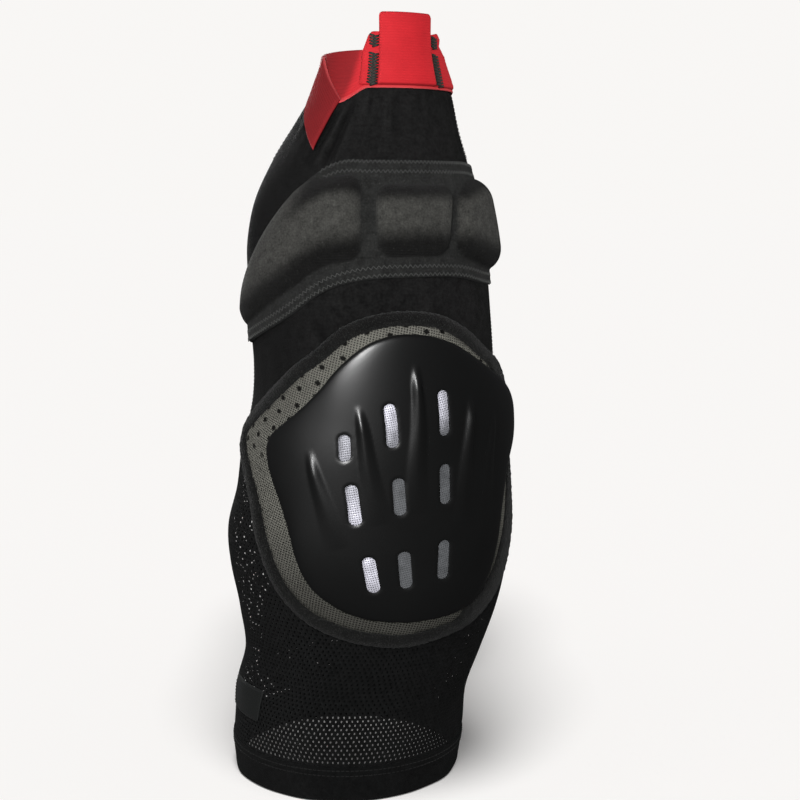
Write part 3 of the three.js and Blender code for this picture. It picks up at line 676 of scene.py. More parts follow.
def makePair(name, shape, material, slot, node=None, **more):
    # The right piece, and the left one with X turned round.
    verts, *rest = shape
    pair = []
    for side, place in (("right", verts), ("left", verts * flipX)):
        piece = makeObject(f"{name}_{side}", (place, *rest), material, **more)
        if side == "left" and not more.get("closed", True):
            piece.data.flip_normals()
        pair.append(setPiece(piece, slot, *([f"{node}_{side}"] if node else [])))
    return pair


def gridQuads(rows, columns, wrapRows=False, wrapColumns=False):
    # Corners of the cells of a grid of points, with the last row or column joined to the first.
    index = np.arange(rows * columns).reshape(rows, columns)
    if wrapRows:
        index = np.concatenate([index, index[:1]])
    if wrapColumns:
        index = np.concatenate([index, index[:, :1]], 1)
    return np.stack([index[:-1, :-1], index[:-1, 1:], index[1:, 1:], index[1:, :-1]], -1).reshape(-1, 4)


def rimEdges(quads, tris):
    # Directed edges that only one face uses.
    edges = np.concatenate([faces[:, [k, (k + 1) % faces.shape[1]]]
                            for faces in (quads, tris) for k in range(faces.shape[1])])
    low, high = edges.min(1), edges.max(1)
    _, first, uses = np.unique(low * (edges.max() + 1) + high, return_index=True, return_counts=True)
    return edges[first[uses == 1]]


def closedPatch(outer, inner, uv, quads, tris=noTris, **stored):
    # An outer and an inner face of the same layout and a wall along every free edge. Both faces have
    # the same map and stored values.
    outer, inner, uv = outer.reshape(-1, 3), inner.reshape(-1, 3), uv.reshape(-1, 2)
    count = len(outer)
    rim = rimEdges(quads, tris)
    walls = np.stack([rim[:, 1], rim[:, 0], rim[:, 0] + count, rim[:, 1] + count], -1)
    allQuads = np.concatenate([quads, quads[:, ::-1] + count, walls])
    allTris = np.concatenate([tris, tris[:, ::-1] + count])
    twice = {label: np.tile(values.ravel(), 2) for label, values in stored.items()}
    return np.concatenate([outer, inner]), allQuads, allTris, np.concatenate([uv, uv]), twice


def layerOn(place, arc, over, under, quads, tris, **stored):
    # A closed layer between two heights, over places given as length round the body and height.
    angle, z = place[:, 0] / arc, place[:, 1]
    return closedPatch(onBody(angle, z, over), onBody(angle, z, under), place, quads, tris, **stored)


def edgeDistance(points, outline, block=5000):
    # Distance to the nearest place on a closed outline, positive inside it, and that place.
    first, second = outline, np.roll(outline, -1, 0)
    run = second - first
    lengthSquared = np.maximum((run ** 2).sum(1), 1e-12)
    level = np.where(np.abs(run[:, 1]) < 1e-9, 1e-9, run[:, 1])
    distance, near = np.empty(len(points)), np.empty_like(points)
    for start in range(0, len(points), block):
        part = slice(start, start + block)
        p = points[part, None, :]
        t = np.clip(((p - first) * run).sum(2) / lengthSquared, 0, 1)
        foot = first + t[..., None] * run
        squared = ((p - foot) ** 2).sum(2)
        best = squared.argmin(1)
        rows = np.arange(len(best))
        crosses = (first[:, 1] > p[..., 1]) != (second[:, 1] > p[..., 1])
        cut = first[:, 0] + (p[..., 1] - first[:, 1]) * run[:, 0] / level
        inside = (crosses & (p[..., 0] < cut)).sum(1) % 2 == 1
        distance[part] = np.sqrt(squared[rows, best]) * np.where(inside, 1, -1)
        near[part] = foot[rows, best]
    return distance, near


def cutGrid(outline, cell, holes=(), margins=(0.37, 0.41)):
    # An even grid over an outline's box. Next to the outline and the holes, the nearer end of each
    # grid edge that crosses moves onto it, and only the cells inside are kept.
    low, high = outline.min(0) - margins[0] * cell, outline.max(0) + margins[1] * cell
    counts = np.maximum(np.ceil((high - low) / cell).astype(int), 4)
    u, v = (np.linspace(low[k], high[k], counts[k] + 1) for k in range(2))
    place = np.stack(np.meshgrid(u, v), -1)
    shape = place.shape[:2]
    place = place.reshape(-1, 2)
    distance, near = edgeDistance(place, outline)
    for hole in holes:
        away, foot = edgeDistance(place, hole)
        closer = -away < distance
        distance = np.where(closer, -away, distance)
        near = np.where(closer[:, None], foot, near)
    grid = distance.reshape(shape)
    move = np.zeros(shape, bool)
    for a, b in (((slice(None), slice(None, -1)), (slice(None), slice(1, None))),
                 ((slice(None, -1), slice(None)), (slice(1, None), slice(None)))):
        crosses = grid[a] * grid[b] < 0
        nearer = np.abs(grid[a]) <= np.abs(grid[b])
        move[a] |= crosses & nearer
        move[b] |= crosses & ~nearer
    flat = move.ravel()
    place[flat] = near[flat]
    distance[flat] = 0
    cells = gridQuads(*shape)
    sign = np.sign(distance)[cells]
    outside, inside = (sign < 0).any(1), (sign > 0).any(1)
    quads = cells[inside & ~outside]
    split = cells[inside & outside]
    peak = sign[inside & outside].argmax(1)
    rows = np.arange(len(split))
    tris = np.stack([split[rows, peak], split[rows, (peak + 1) % 4], split[rows, (peak + 3) % 4]], -1)
    used, packed = np.unique(np.concatenate([quads.ravel(), tris.ravel()]), return_inverse=True)
    quads = packed[:quads.size].reshape(-1, 4)
    return place[used], np.maximum(distance[used], 0), quads, packed[quads.size:].reshape(-1, 3)


def lengthAlong(line):
    # Length of a line from its start to each of its points.
    return np.concatenate([[0], np.cumsum(np.linalg.norm(np.diff(line, axis=0), axis=1))])


def pointsAt(line, length, at):
    # Places on a flat line at given lengths along it.
    return np.stack([np.interp(at, length, line[:, k]) for k in range(2)], -1)


def closedCurve(points, spacing, steps=24):
    # A smooth closed curve through points: a cubic between neighbours whose slope is that of the
    # chord past each point, read off again at even steps of its length.
    before, after, next2 = np.roll(points, 1, 0), np.roll(points, -1, 0), np.roll(points, -2, 0)
    gap = np.sqrt(np.linalg.norm(after - points, axis=1))[:, None]
    gapBefore, gapAfter = np.roll(gap, 1, 0), np.roll(gap, -1, 0)
    slopeStart = (points - before) / gapBefore - (after - before) / (gapBefore + gap) + (after - points) / gap
    slopeEnd = (after - points) / gap - (next2 - points) / (gap + gapAfter) + (next2 - after) / gapAfter
    u = np.linspace(0, 1, steps, endpoint=False)[None, :, None]
    fine = hermite(points[:, None], (slopeStart * gap)[:, None], after[:, None], (slopeEnd * gap)[:, None], u)
    loop = np.concatenate([fine.reshape(-1, 2), fine[0, :1]])
    length = lengthAlong(loop)
    at = np.linspace(0, length[-1], max(int(length[-1] / spacing), 12), endpoint=False)
    return pointsAt(loop, length, at)


def tableOutline(rows, arc):
    # Outline of a layer from its table of angle, top and bottom: along the top and back along the bottom.
    rows = np.asarray(rows, float)
    top = np.stack([rows[:, 0] * arc, rows[:, 1]], -1)
    bottom = np.stack([rows[:, 0] * arc, rows[:, 2]], -1)
    return np.concatenate([top, bottom[::-1]])


# Stitches

tubeSides = 4


def threadTubes(paths, out, radius):
    # Tubes along many paths at once: a ring of points round each path point, in the plane of the
    # surface's normal and the direction across the path, with both ends filled.
    count, steps = paths.shape[:2]
    way = unit(np.gradient(paths, axis=1))
    aside = unit(np.cross(way, out))
    up = unit(np.cross(aside, way))
    turn = fullTurn * (np.arange(tubeSides) + 0.5) / tubeSides
    ring = aside[:, :, None] * np.cos(turn)[:, None] + up[:, :, None] * np.sin(turn)[:, None]
    radius = np.broadcast_to(np.asarray(radius, float), (count, steps))
    verts = paths[:, :, None] + ring * radius[:, :, None, None]
    last = (steps - 1) * tubeSides
    caps = np.array([[3, 2, 1, 0], [last, last + 1, last + 2, last + 3]])
    faces = np.concatenate([gridQuads(steps, tubeSides, wrapColumns=True), caps])
    quads = (faces[None] + (np.arange(count) * steps * tubeSides)[:, None, None]).reshape(-1, 4)
    return verts.reshape(-1, 3), quads


def stitchShape(parts, **stored):
    # Several sets of tubes as one shape, without a map of its own.
    offsets = np.cumsum([0] + [len(verts) for verts, _ in parts[:-1]])
    verts = np.concatenate([verts for verts, _ in parts])
    quads = np.concatenate([quads + offset for (_, quads), offset in zip(parts, offsets)])
    return verts, quads, noTris, np.zeros((len(verts), 2)), stored


def zigzagOn(line, surface, s, perTurn=4):
    # A thread that swings from side to side of a line: its offset is a sine of the length along it.
    length = lengthAlong(line)
    turns = max(int(length[-1] / s["stitchPitch"]), 2)
    at = np.linspace(0, length[-1], turns * perTurn + 1)
    middle = pointsAt(line, length, at)
    way = unit(np.gradient(middle, axis=0))
    swing = np.sin(fullTurn * turns * at / length[-1]) * s["stitchWidth"] / 2
    points, out = surface(middle + np.stack([-way[:, 1], way[:, 0]], -1) * swing[:, None])
    return threadTubes(points[None], out[None], s["stitchRadius"])


def dashesOn(line, surface, s, steps=5, sunk=0.6, arched=1.4):
    # Short stitches along a line, each an arch of a sine whose two ends are sunk into the cloth.
    length = lengthAlong(line)
    radius = s["stitchRadius"]
    starts = np.arange(0.5 * s["stitchPitch"], length[-1] - s["stitchLength"], s["stitchPitch"])
    spots = pointsAt(line, length, starts[:, None] + np.linspace(0, s["stitchLength"], steps))
    points, out = (part.reshape(len(starts), steps, 3) for part in surface(spots.reshape(-1, 2)))
    arch = np.sin(np.linspace(0, math.pi, steps)) - sunk
    return threadTubes(points + out * (arch * radius * arched)[None, :, None], out, radius)


def surfaceOf(arc, height):
    # Places given as length round the body and height, on the body's surface at a height above it.
    def surface(spots):
        angle, z = spots[:, 0] / arc, spots[:, 1]
        lift = height(angle, z) if callable(height) else height
        return onBody(angle, z, lift), bodyNormal(angle, z)
    return surface


# Jersey panels

jersey = {
    "top": 17.0, "seamZ": -240.4, "wall": 1.5,
    "sideColumns": 132, "middleColumns": 48, "rows": 98,
    "crowd": 0.25,                # how much closer the side columns lie in the middle
    "waistArc": 0.82, "mapArc": 1.45,
    "gather": 0.9, "gatherFade": 20.0, "gatherFrom": 5.0,
    "gathers": [(11.3, 900, 0.4, 0.55), (7.9, -700, 2.1, 0.3), (17.5, 1500, 4.0, 0.5)],
    "drape": [(61, 140, 0.3, 0.4), (-43, 97, 1.9, 0.35), (23, -210, 3.0, 0.22)],
    "drapeFrom": 8.0, "drapeTo": 40.0, "sink": 0.25,
    "seatShade": 0.7, "shadeFrom": 12.0, "shadeTo": 42.0,   # painted shade, darker towards the seat
    "creases": [                  # angle, z, end angle, end z, depth, width
        (18.5, -7, 22, -48, 1.7, 3.0), (28, -12, 34, -50, 1.2, 3.6), (5.5, -2, 4, -19, 0.7, 2.0),
        (-12, -3, -15, -36, 0.5, 3.0), (-32, -136, -36, -165, 0.8, 3.5), (-8, -134, -6, -152, 0.5, 3.5),
        (24, -148, 10, -178, 0.9, 3.2), (48, -165, 44, -200, 0.8, 3.6)],
    "creaseScale": 1.2, "lowFade": (-6, 8), "topFade": (-8, 3), "bank": 0.75, "bankOff": 1.9,
}


def creaseDepth(w, z, s):
    # A narrow hollow along each crease's line with a bank on its rear side, each a bell curve across it.
    depth = 0.0 * z
    for angle, top, lowAngle, low, deep, width in s["creases"]:
        share = np.clip((z - top) / (low - top), 0, 1)
        off = (w / s["waistArc"] - (angle + (lowAngle - angle) * share)) * s["creaseScale"] / width
        ends = smoothStep(z - low, *s["lowFade"]) * (1 - smoothStep(z - top, *s["topFade"]))
        depth = depth + deep * ends * (np.exp(-off ** 2) - s["bank"] * np.exp(-(off - s["bankOff"]) ** 2))
    return depth


def jerseyRelief(w, z, s):
    # Gathers just under the waistband that fade downwards, on a broad shallow drape with a few creases.
    under = np.clip(-z, 0, None)
    fade = np.exp(-under / s["gatherFade"]) * smoothStep(under, 0, s["gatherFrom"])
    draped = smoothStep(under, s["drapeFrom"], s["drapeTo"])
    drape = (waves(w, z, s["drape"]) - s["sink"]) * draped - creaseDepth(w, z, s)
    return s["gather"] * fade * waves(w, z, s["gathers"]) + drape


def sidePanel(s):
    # From the front seam to the back seam: the angle is a cubic of the column, so that columns lie
    # closer in the middle, and the relief lies along the body's normal.
    z = np.linspace(s["top"], s["seamZ"], s["rows"])[:, None]
    u = np.linspace(-1, 1, s["sideColumns"])[None, :]
    angle, z = np.broadcast_arrays(90 * (u * (1 - s["crowd"]) + s["crowd"] * u ** 3), z)
    w = angle * s["waistArc"]
    relief = jerseyRelief(w, z, s)
    # Painted shade for the material: darker in the creases and towards the seat.
    shade = s["seatShade"] * smoothStep(angle, s["shadeFrom"], s["shadeTo"])
    crease = np.clip(creaseDepth(w, z, s), -1, 1) * (1 - shade) + shade
    uv = np.stack([angle * s["mapArc"], z], -1)
    return closedPatch(onBody(angle, z, relief), onBody(angle, z, relief - s["wall"]), uv,
                       gridQuads(*angle.shape), crease=crease)


def middlePanel(s, sign, shade, step=0.002):
    # Half of the front or seat panel, from the side seam to the middle: the inner rounded square
    # of each section, cut at the middle plane where it passes it, eased into a flat curve high up.
    z = np.linspace(s["top"], s["seamZ"], s["rows"])[:, None]
    q = np.linspace(0, 1, s["middleColumns"])[None, :]
    z, q = np.broadcast_arrays(z, q)
    front, back, _, inner, square = sectionAt(z)
    centre = bodyShape["legCentre"]
    reach = inner + centre
    d = np.sin(q * np.arcsin(np.minimum(1, centre / reach)))

    def fore(share):
        # Depth of a rounded square at a share of its half width.
        return np.maximum(1 - np.clip(share, 0, 1) ** square, 0) ** (1 / square)

    x = -centre + reach * d
    ease = bodyShape["bridge"] * smoothStep(z, bodyShape["bridgeLow"], bodyShape["bridgeHigh"]) + 1e-6
    edge = (centre - ease) / reach
    slope = (fore(edge + step) - fore(edge - step)) / (2 * step * reach)
    bridged = fore(edge) + slope / (2 * ease) * (ease ** 2 - x ** 2)
    depth = np.where((x > -ease) & (ease > 1), bridged, fore(d))
    y = (front + back) / 2 + sign * (back - front) / 2 * depth
    points = np.stack([x, y, z], -1)
    normal = unit(np.cross(np.gradient(points, axis=1), np.gradient(points, axis=0))) * sign
    normal[:, -1, 0] = np.where(inner[:, -1] > 0, 0, normal[:, -1, 0])
    normal = unit(normal)
    normal[:, 0] = bodyNormal(np.full(z.shape[0], 90.0 * sign), z[:, 0])
    w = sign * (90 * s["waistArc"] + q * centre)
    relief = jerseyRelief(w, z, s)[..., None]
    return closedPatch(points + normal * relief, points + normal * (relief - s["wall"]), np.stack([w, z], -1),
                       gridQuads(*z.shape), crease=np.full(z.shape, shade))


def bothHalves(shape):
    # A half and its reflection in the middle plane, with the reflection's faces reversed.
    verts, quads, tris, uv, stored = shape
    allQuads = np.concatenate([quads, quads[:, ::-1] + len(verts)])
    twice = {label: np.tile(values, 2) for label, values in stored.items()}
    return np.concatenate([verts, verts * flipX]), allQuads, tris, np.concatenate([uv, uv]), twice


for piece in makePair("side_jersey", sidePanel(jersey), "blackJersey", "black_jersey", "side_panel"):
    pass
# The seat panel carries the seat's painted shade all over, and the front panel none.
for name, node, sign, shade in (("front_jersey", "front_panel", -1, 0.0),
                                ("seat_jersey", "seat_panel", 1, jersey["seatShade"])):
    piece = makeObject(name, bothHalves(middlePanel(jersey, sign, shade)), "blackJersey")
    setPiece(piece, "black_jersey", node)
print("jersey panels made")

# Waistband, its drooping fold, and the side tabs

band = {
    "height": 24.2, "under": 0.2, "cloth": 1.7, "round": 0.5, "inset": 0.6,
    "sideColumns": 120, "middleColumns": 50, "outerRows": 13, "innerRows": 5,
    "paleFrom": 0.3, "paleTo": 0.75,
    "droop": 9.5, "droopFrom": (9, 31), "droopTo": (38, 64),   # how far the lower edge hangs beside the fold
    "dullLow": 29.0, "dullHigh": 16.0, "dullBlend": 4.0,   # angles where the band's painted shade begins
    # How strong the painted shade is, where it deepens and where it ends.
    "dull": 0.76, "dullMore": 0.16, "moreFrom": (40, 70), "dullEnd": (70, 100),
}


def bandLoop(z, s):
    # Points round the whole waist at one height: the right side, the back, the left side and the
    # front, and the way outwards at each in the level plane. Beside the fold the lower edge hangs.
    angle = np.linspace(-90, 90, s["sideColumns"], endpoint=False)
    beside = smoothStep(angle, *s["droopFrom"]) * (1 - smoothStep(angle, *s["droopTo"]))
    side = bodyPoint(angle, z - s["droop"] * beside * (1 - z / s["height"]))
    leftSide = bodyPoint(np.append(angle[1:], 90.0), z)[::-1] * flipX
    leftFront = bodyPoint(np.array([-90.0]), z) * flipX
    centre, ease = bodyShape["legCentre"], bodyShape["bridge"]
    front, back, _, inner, square = (float(v) for v in sectionAt(np.array(float(z))))
    half = np.linspace(-centre, 0, s["middleColumns"] + 1)
    reach = inner + centre
    edge = (centre - ease) / reach
    slope = -(edge ** (square - 1)) * (1 - edge ** square) ** (1 / square - 1) / reach
    bridged = (1 - edge ** square) ** (1 / square) + slope / (2 * ease) * (ease ** 2 - half ** 2)
    fore = np.where(half > -ease, bridged, (1 - ((half + centre) / reach) ** square) ** (1 / square))
    middle, depth = (front + back) / 2, (back - front) / 2
    level = np.full_like(half, z)
    backHalf = np.stack([half, middle + depth * fore, level], -1)
    frontHalf = np.stack([half, middle - depth * fore, level], -1)
    loop = np.concatenate([side, backHalf, (backHalf[1:-1] * flipX)[::-1], leftSide, leftFront,
                           frontHalf[1:-1] * flipX, frontHalf[1:][::-1]])
    way = np.roll(loop, -1, 0) - np.roll(loop, 1, 0)
    out = unit(np.stack([way[:, 1], -way[:, 0], way[:, 0] * 0], -1))
    outward = np.sign((out[:, :2] * (loop[:, :2] - loop[:, :2].mean(0))).sum(1).mean())
    return loop, out * outward


def cornerMap(u, v):
    # Map of the cells of a closed tube, corner by corner, from values on its lines and one line more.
    rows, columns = u.shape[0] - 1, u.shape[1] - 1
    cells = [np.stack([grid[dr:rows + dr, dc:columns + dc] for grid in (u, v)], -1)
             for dr, dc in ((0, 0), (0, 1), (1, 1), (1, 0))]
    return np.stack(cells, 2).reshape(-1, 4, 2)


def waistbandMesh(s):
    # A flat oblong profile with rounded corners, carried round the waist.
    r, h, inside = s["round"], s["height"], s["under"]
    outside, tuck = inside + s["cloth"], inside + r * s["inset"]
    profile = [(outside - r, 0.0)] + [(outside, z) for z in np.linspace(r, h - r, s["outerRows"])]
    profile += [(outside - r, h), (tuck, h)] + [(inside, z) for z in np.linspace(h - r, r, s["innerRows"])]
    profile += [(tuck, 0.0)]
    rings, lengths = [], []
    for out, z in profile:
        loop, way = bandLoop(z, s)
        rings.append(loop + way * out)
        lengths.append(lengthAlong(np.concatenate([loop, loop[:1]])))
    verts = np.stack(rings)
    rows, columns = verts.shape[:2]
    u, v = np.stack(lengths + lengths[:1]), np.array([z for _, z in profile])
    uv = cornerMap(u, np.repeat(np.append(v, v[0])[:, None], columns + 1, 1))
    high = np.repeat(v, columns)
    pale = 1 - smoothStep(high, s["paleFrom"], s["paleTo"])
    x, y = verts[..., 0].ravel(), verts[..., 1].ravel()
    # Painted shade: a darker red from beside the fold round to the back, on the right side only.
    turn = np.degrees(np.arctan2(y, np.abs(x) - bodyShape["legCentre"]))
    start = s["dullLow"] + (s["dullHigh"] - s["dullLow"]) * high / h
    dull = s["dull"] * smoothStep(turn, start - s["dullBlend"], start + s["dullBlend"])
    dull += s["dullMore"] * smoothStep(turn, *s["moreFrom"])
    dull *= (1 - smoothStep(turn, *s["dullEnd"])) * (x < 0)
    stored = {"selvedge": pale, "dull": dull}
    return verts.reshape(-1, 3), gridQuads(rows, columns, True, True), noTris, uv, stored


piece = setPiece(makeObject("waist_elastic", waistbandMesh(band), "redElastic"), "red_elastic", "waistband")

fold = {
    "crease": [(65.0, 21.5), (28.0, -8.0)],      # angle and z at both ends of the fold's crease
    "droop": [(56.0, -17.0), (32.0, -41.0)],     # and of its drooping edge
    "under": 2.2, "cloth": 1.6, "columns": 34, "rows": 26, "side": 6.5,
    "bow": 1.6, "bowRound": 0.8, "bowTop": 0.4, "flare": 0.6, "flareFrom": 0.6,
    "width": 30, "length": 36, "rimWidth": 24, "rimRound": 0.8, "rimLeast": 0.12,
    "paleFrom": 0.3, "creasePale": (0.8, 1.2), "droopPale": (0.4, 1.4), "dull": 0.95,   # share, width
}


def foldMesh(s):
    # A ruled sheet between the crease and the drooping end, bowed out a little in its middle.
    u, v = np.meshgrid(np.linspace(0, 1, s["columns"]), np.linspace(0, 1, s["rows"]))
    crease, droop = np.array(s["crease"]), np.array(s["droop"])
    start = crease[0] + (crease[1] - crease[0]) * v[..., None]
    end = droop[0] + (droop[1] - droop[0]) * v[..., None]
    place = start + (end - start) * u[..., None]
    angle, z = place[..., 0] + s["side"] * np.sin(math.pi * u) * (1 - v) ** 2, place[..., 1]
    bow = s["bow"] * np.sin(math.pi * u) ** s["bowRound"] * (s["bowTop"] + (1 - s["bowTop"]) * v)
    lift = s["under"] + bow + s["flare"] * smoothStep(u, s["flareFrom"], 1.0)
    rim = np.minimum(np.minimum(u, 1 - u) * s["width"], np.minimum(v, 1 - v) * s["rimWidth"])
    thick = s["cloth"] * np.sqrt(np.clip(rim / s["rimRound"], s["rimLeast"], 1))
    pale = [share * (1 - smoothStep(away * s["length"], s["paleFrom"], width))
            for away, (share, width) in ((u, s["creasePale"]), (1 - u, s["droopPale"]))]
    uv = np.stack([v * s["width"], u * s["length"]], -1)
    # The whole fold is painted with the darker red shade.
    return closedPatch(onBody(angle, z, lift + thick), onBody(angle, z, lift), uv, gridQuads(*u.shape),
                       selvedge=np.maximum(*pale), dull=np.full(u.shape, s["dull"]))


piece = setPiece(makeObject("waist_fold", foldMesh(fold), "redElastic"), "red_elastic")

tab = {
    "arc": 0.8, "cell": 1.0, "rimRound": 0.9, "rimLeast": 0.15, "swellReach": 12.0,
    "backing": {"outline": [(17, 1.2), (17.5, 8), (17.5, 23), (12.5, 33), (9, 35.5), (-50, 35), (-59, 36.5),
                            (-64, 33), (-62, 28.5), (-72, 22), (-79, 8), (-81, 1.2)],   # angle, z
                "under": 2.0, "cloth": 1.5, "swell": 0.0},
    "strip": {"front": -45.5, "back": 2.5, "foot": 1.2, "height": 47.5, "corner": 2.5,
              "under": 3.8, "cloth": 2.0, "swell": 0.7},
    "bars": [(33.5, 24.2), (21.8, -0.6)],        # upper and lower ends
    "barWidths": (7.8, 6.3), "barPitch": 1.9, "barThread": 0.98, "barSteps": 7, "barGap": 0.2, "barLift": 0.3,
    "barCross": 0.66, "barSlant": 1.3, "barArch": 1.1, "barSink": 0.3, "barTaper": 0.3,
    # Painted highlight and shade along each bar stitch.
    "plyRise": 1.6, "plyLow": 0.85,
}


def roundedStrip(s, arc, steps=8):
    # Outline of an upright strip: quarter circles at its upper corners, and square lower ones.
    left, right, h, r = s["front"] * arc, s["back"] * arc, s["height"], s["corner"]
    turn = np.linspace(0, math.pi / 2, steps)
    upperRight = np.stack([right - r + r * np.cos(turn), h - r + r * np.sin(turn)], -1)
    upperLeft = np.stack([left + r - r * np.sin(turn), h - r + r * np.cos(turn)], -1)
    return np.concatenate([upperRight, upperLeft, [(left, s["foot"]), (right, s["foot"])]])


def elasticPatch(outline, layer, s):
    # A flat strip cut from the grid, rounded over at its edges and a little fuller in its middle.
    place, inside, quads, tris = cutGrid(outline, s["cell"])
    rim = np.sqrt(np.clip(inside / s["rimRound"], s["rimLeast"], 1))
    full = layer["swell"] * smoothStep(inside, 0, s["swellReach"])
    return layerOn(place, s["arc"], layer["under"] + layer["cloth"] * rim + full, layer["under"], quads, tris)


backingOutline = np.array(tab["backing"]["outline"], float) * np.array([tab["arc"], 1])
backing = elasticPatch(backingOutline, tab["backing"], tab)
for piece in makePair("backing_elastic", backing, "redElastic", "red_elastic", "tab_backing"):
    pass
strip = elasticPatch(roundedStrip(tab["strip"], tab["arc"]), tab["strip"], tab)
for piece in makePair("tab_elastic", strip, "redElastic", "red_elastic", "side_tab"):
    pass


def braidOn(x, high, low, width, surface, s):
    # Slanting stitches from both edges of an upright bar to just past its middle line, in turns. Each
    # is an arch of a sine, thicker in its middle.
    share = np.linspace(0, 1, s["barSteps"])
    arch = np.sin(math.pi * share)
    radius = s["barThread"] * (1 - s["barTaper"] + s["barTaper"] * arch)
    lift = s["barThread"] * s["barArch"] * arch - s["barSink"]
    parts = []
    for side, shift in ((1, 0.0), (-1, 0.5)):
        start = high - (np.arange(int((high - low) / s["barPitch"])) + shift) * s["barPitch"]
        across = x + side * (width / 2 - share * width * s["barCross"])
        down = start[:, None] - share * s["barSlant"]
        spots = np.stack([np.broadcast_to(across, down.shape), down], -1)
        points, out = (part.reshape(*down.shape, 3) for part in surface(spots.reshape(-1, 2)))
        parts.append(threadTubes(points + out * lift[:, None], out, radius))
    return parts


def tabBars(s):
    # Braided bars beside the tab, each in two lengths; every stitch has a painted highlight in its middle and
    # painted shade at its ends.
    surface = surfaceOf(s["arc"], s["backing"]["under"] + s["backing"]["cloth"] + s["barLift"])
    parts = []
    for edge, way, width in zip((s["strip"]["front"], s["strip"]["back"]), (-1, 1), s["barWidths"]):
        middle = edge * s["arc"] + way * (width / 2 + s["barGap"])
        for high, low in s["bars"]:
            parts += braidOn(middle, high, low, width, surface, s)
    ply = s["plyRise"] * np.sin(math.pi * np.linspace(0, 1, s["barSteps"])) - s["plyLow"]
    stitches = sum(len(verts) for verts, _ in parts) // (tubeSides * s["barSteps"])
    return stitchShape(parts, ply=np.tile(np.repeat(ply, tubeSides), stitches))


makePair("tab_bars", tabBars(tab), "barThread", "red_elastic")
print("waistband, fold and tabs made")

# Hip pad: three moulded chambers between flat seams

pad = {
    "edges": np.array([           # angle, top, bottom
        (-98, -50, -130), (-68, -46.5, -126.5), (-46, -46.5, -121), (-24, -46.5, -120), (-2, -46.5, -121),
        (14, -47, -126), (24, -53, -133), (33, -63, -141.5), (43, -79, -149.5), (57, -101, -158),
        (76, -121, -166), (100, -136, -171)], float),
    "arc": 1.36, "columns": 160, "rows": 72, "under": 0.3,
    "slant": (14, 34), "front": (52, 70),        # angles over which the rear edge slants and the front turns
    "seam": 2.0, "seamLift": 0.5, "seamThin": 0.6, "seamThinAt": (45, 75),
    "seamRound": 2.2, "seamLeast": 0.02,
    "topSeam": 16.0, "backTopSeam": 10.5, "backAt": (-5, 3), "slantCut": 0.85, "frontCut": 0.35,
    "bottomSeam": 12.5, "slantSeam": 2.5, "slantSeamFrom": (0, 20), "slantSeamTo": (42, 65), "frontLow": 0.12,
    "slantStretch": 0.9, "grooveStretch": 1.25,
    "grooves": [                  # angle at the top and at the bottom, half width
        (-99.5, -99.5, 0.5), (-52, -39, 3.2), (-2.5, -3.0, 4.2), (101.5, 101.5, 0.5)],
    "crown": 9.2, "wall": 15.5, "corner": 11.0, "wallSteep": 2.3, "crestFlat": 0.72,
    "rearLow": 0.5, "rearAt": (38, 92),
    "topShade": (5.5, 14), "topShadeEnd": (23, 38), "lowShade": (7, 23),
    "backShade": 3, "backShadeAt": (-3, 1),
    "tape": (0.2, 1.8),           # heights between which the seam's tone gives way to the chamber's
    "pinned": 0.8, "pressure": 4.0, "frames": 20, "cap": 2.6,
    "quality": 6, "mass": 0.25, "stiffness": 25, "bending": 4,
    "stitchWidth": 2.0, "stitchPitch": 3.1, "stitchRadius": 0.27, "stitchSteps": 260,
    "stitchEnds": (-96, 98), "topStitchEnd": 24, "topStitches": (1.6, 7.6), "lowStitches": (1.8, 7.0),
}


def padEdges(angle):
    # Top and bottom of the pad at an angle, each a curve through the table.
    return (curveThrough(pad["edges"][:, 0], pad["edges"][:, k], angle) for k in (1, 2))


def padHeight(angle, z, s):
    # Height over the seams from the distance to each chamber's rounded edge: steep up the wall, then nearly
    # flat; and a painted shade that is one at the chamber's upper and lower walls and none on its crest.
    top, bottom = padEdges(angle)
    share = np.clip((top - z) / (top - bottom), 0, 1)
    slant, front = smoothStep(angle, *s["slant"]), smoothStep(-angle, *s["front"])
    topSeam = s["topSeam"] + (s["backTopSeam"] - s["topSeam"]) * smoothStep(angle, *s["backAt"])
    topSeam = topSeam * (1 - s["slantCut"] * slant - s["frontCut"] * front)
    wider = smoothStep(angle, *s["slantSeamFrom"]) * (1 - smoothStep(angle, *s["slantSeamTo"]))
    lowSeam = (s["bottomSeam"] + s["slantSeam"] * wider) * (1 - s["frontLow"] * front)
    fromTop = (top - topSeam - z) / (1 + s["slantStretch"] * slant)
    fromBottom = z - bottom - lowSeam
    down = np.minimum(fromTop, fromBottom)
    height = np.zeros_like(angle)
    r = s["corner"]
    for (upA, lowA, halfA), (upB, lowB, halfB) in zip(s["grooves"][:-1], s["grooves"][1:]):
        left = (angle - (upA + (lowA - upA) * share)) * s["arc"] - halfA
        right = ((upB + (lowB - upB) * share) - angle) * s["arc"] - halfB
        across = np.minimum(left, right) * s["grooveStretch"]
        bothNear = np.hypot(np.clip(r - across, 0, None), np.clip(r - down, 0, None))
        inside = np.where((across < r) | (down < r), r - bothNear, np.minimum(across, down))
        u = np.clip(inside / s["wall"], 0, 1)
        chamber = s["crown"] * (1 - (1 - u) ** s["wallSteep"]) ** s["crestFlat"]
        height = np.maximum(height, chamber * (inside > 0))
    reach = s["backShade"] * smoothStep(angle, *s["backShadeAt"])
    upper = (1 - smoothStep(fromTop - reach, *s["topShade"])) * (1 - smoothStep(angle, *s["topShadeEnd"]))
    shade = np.maximum(upper, 1 - smoothStep(fromBottom, *s["lowShade"]))
    return height * (1 - s["rearLow"] * smoothStep(angle, *s["rearAt"])), shade


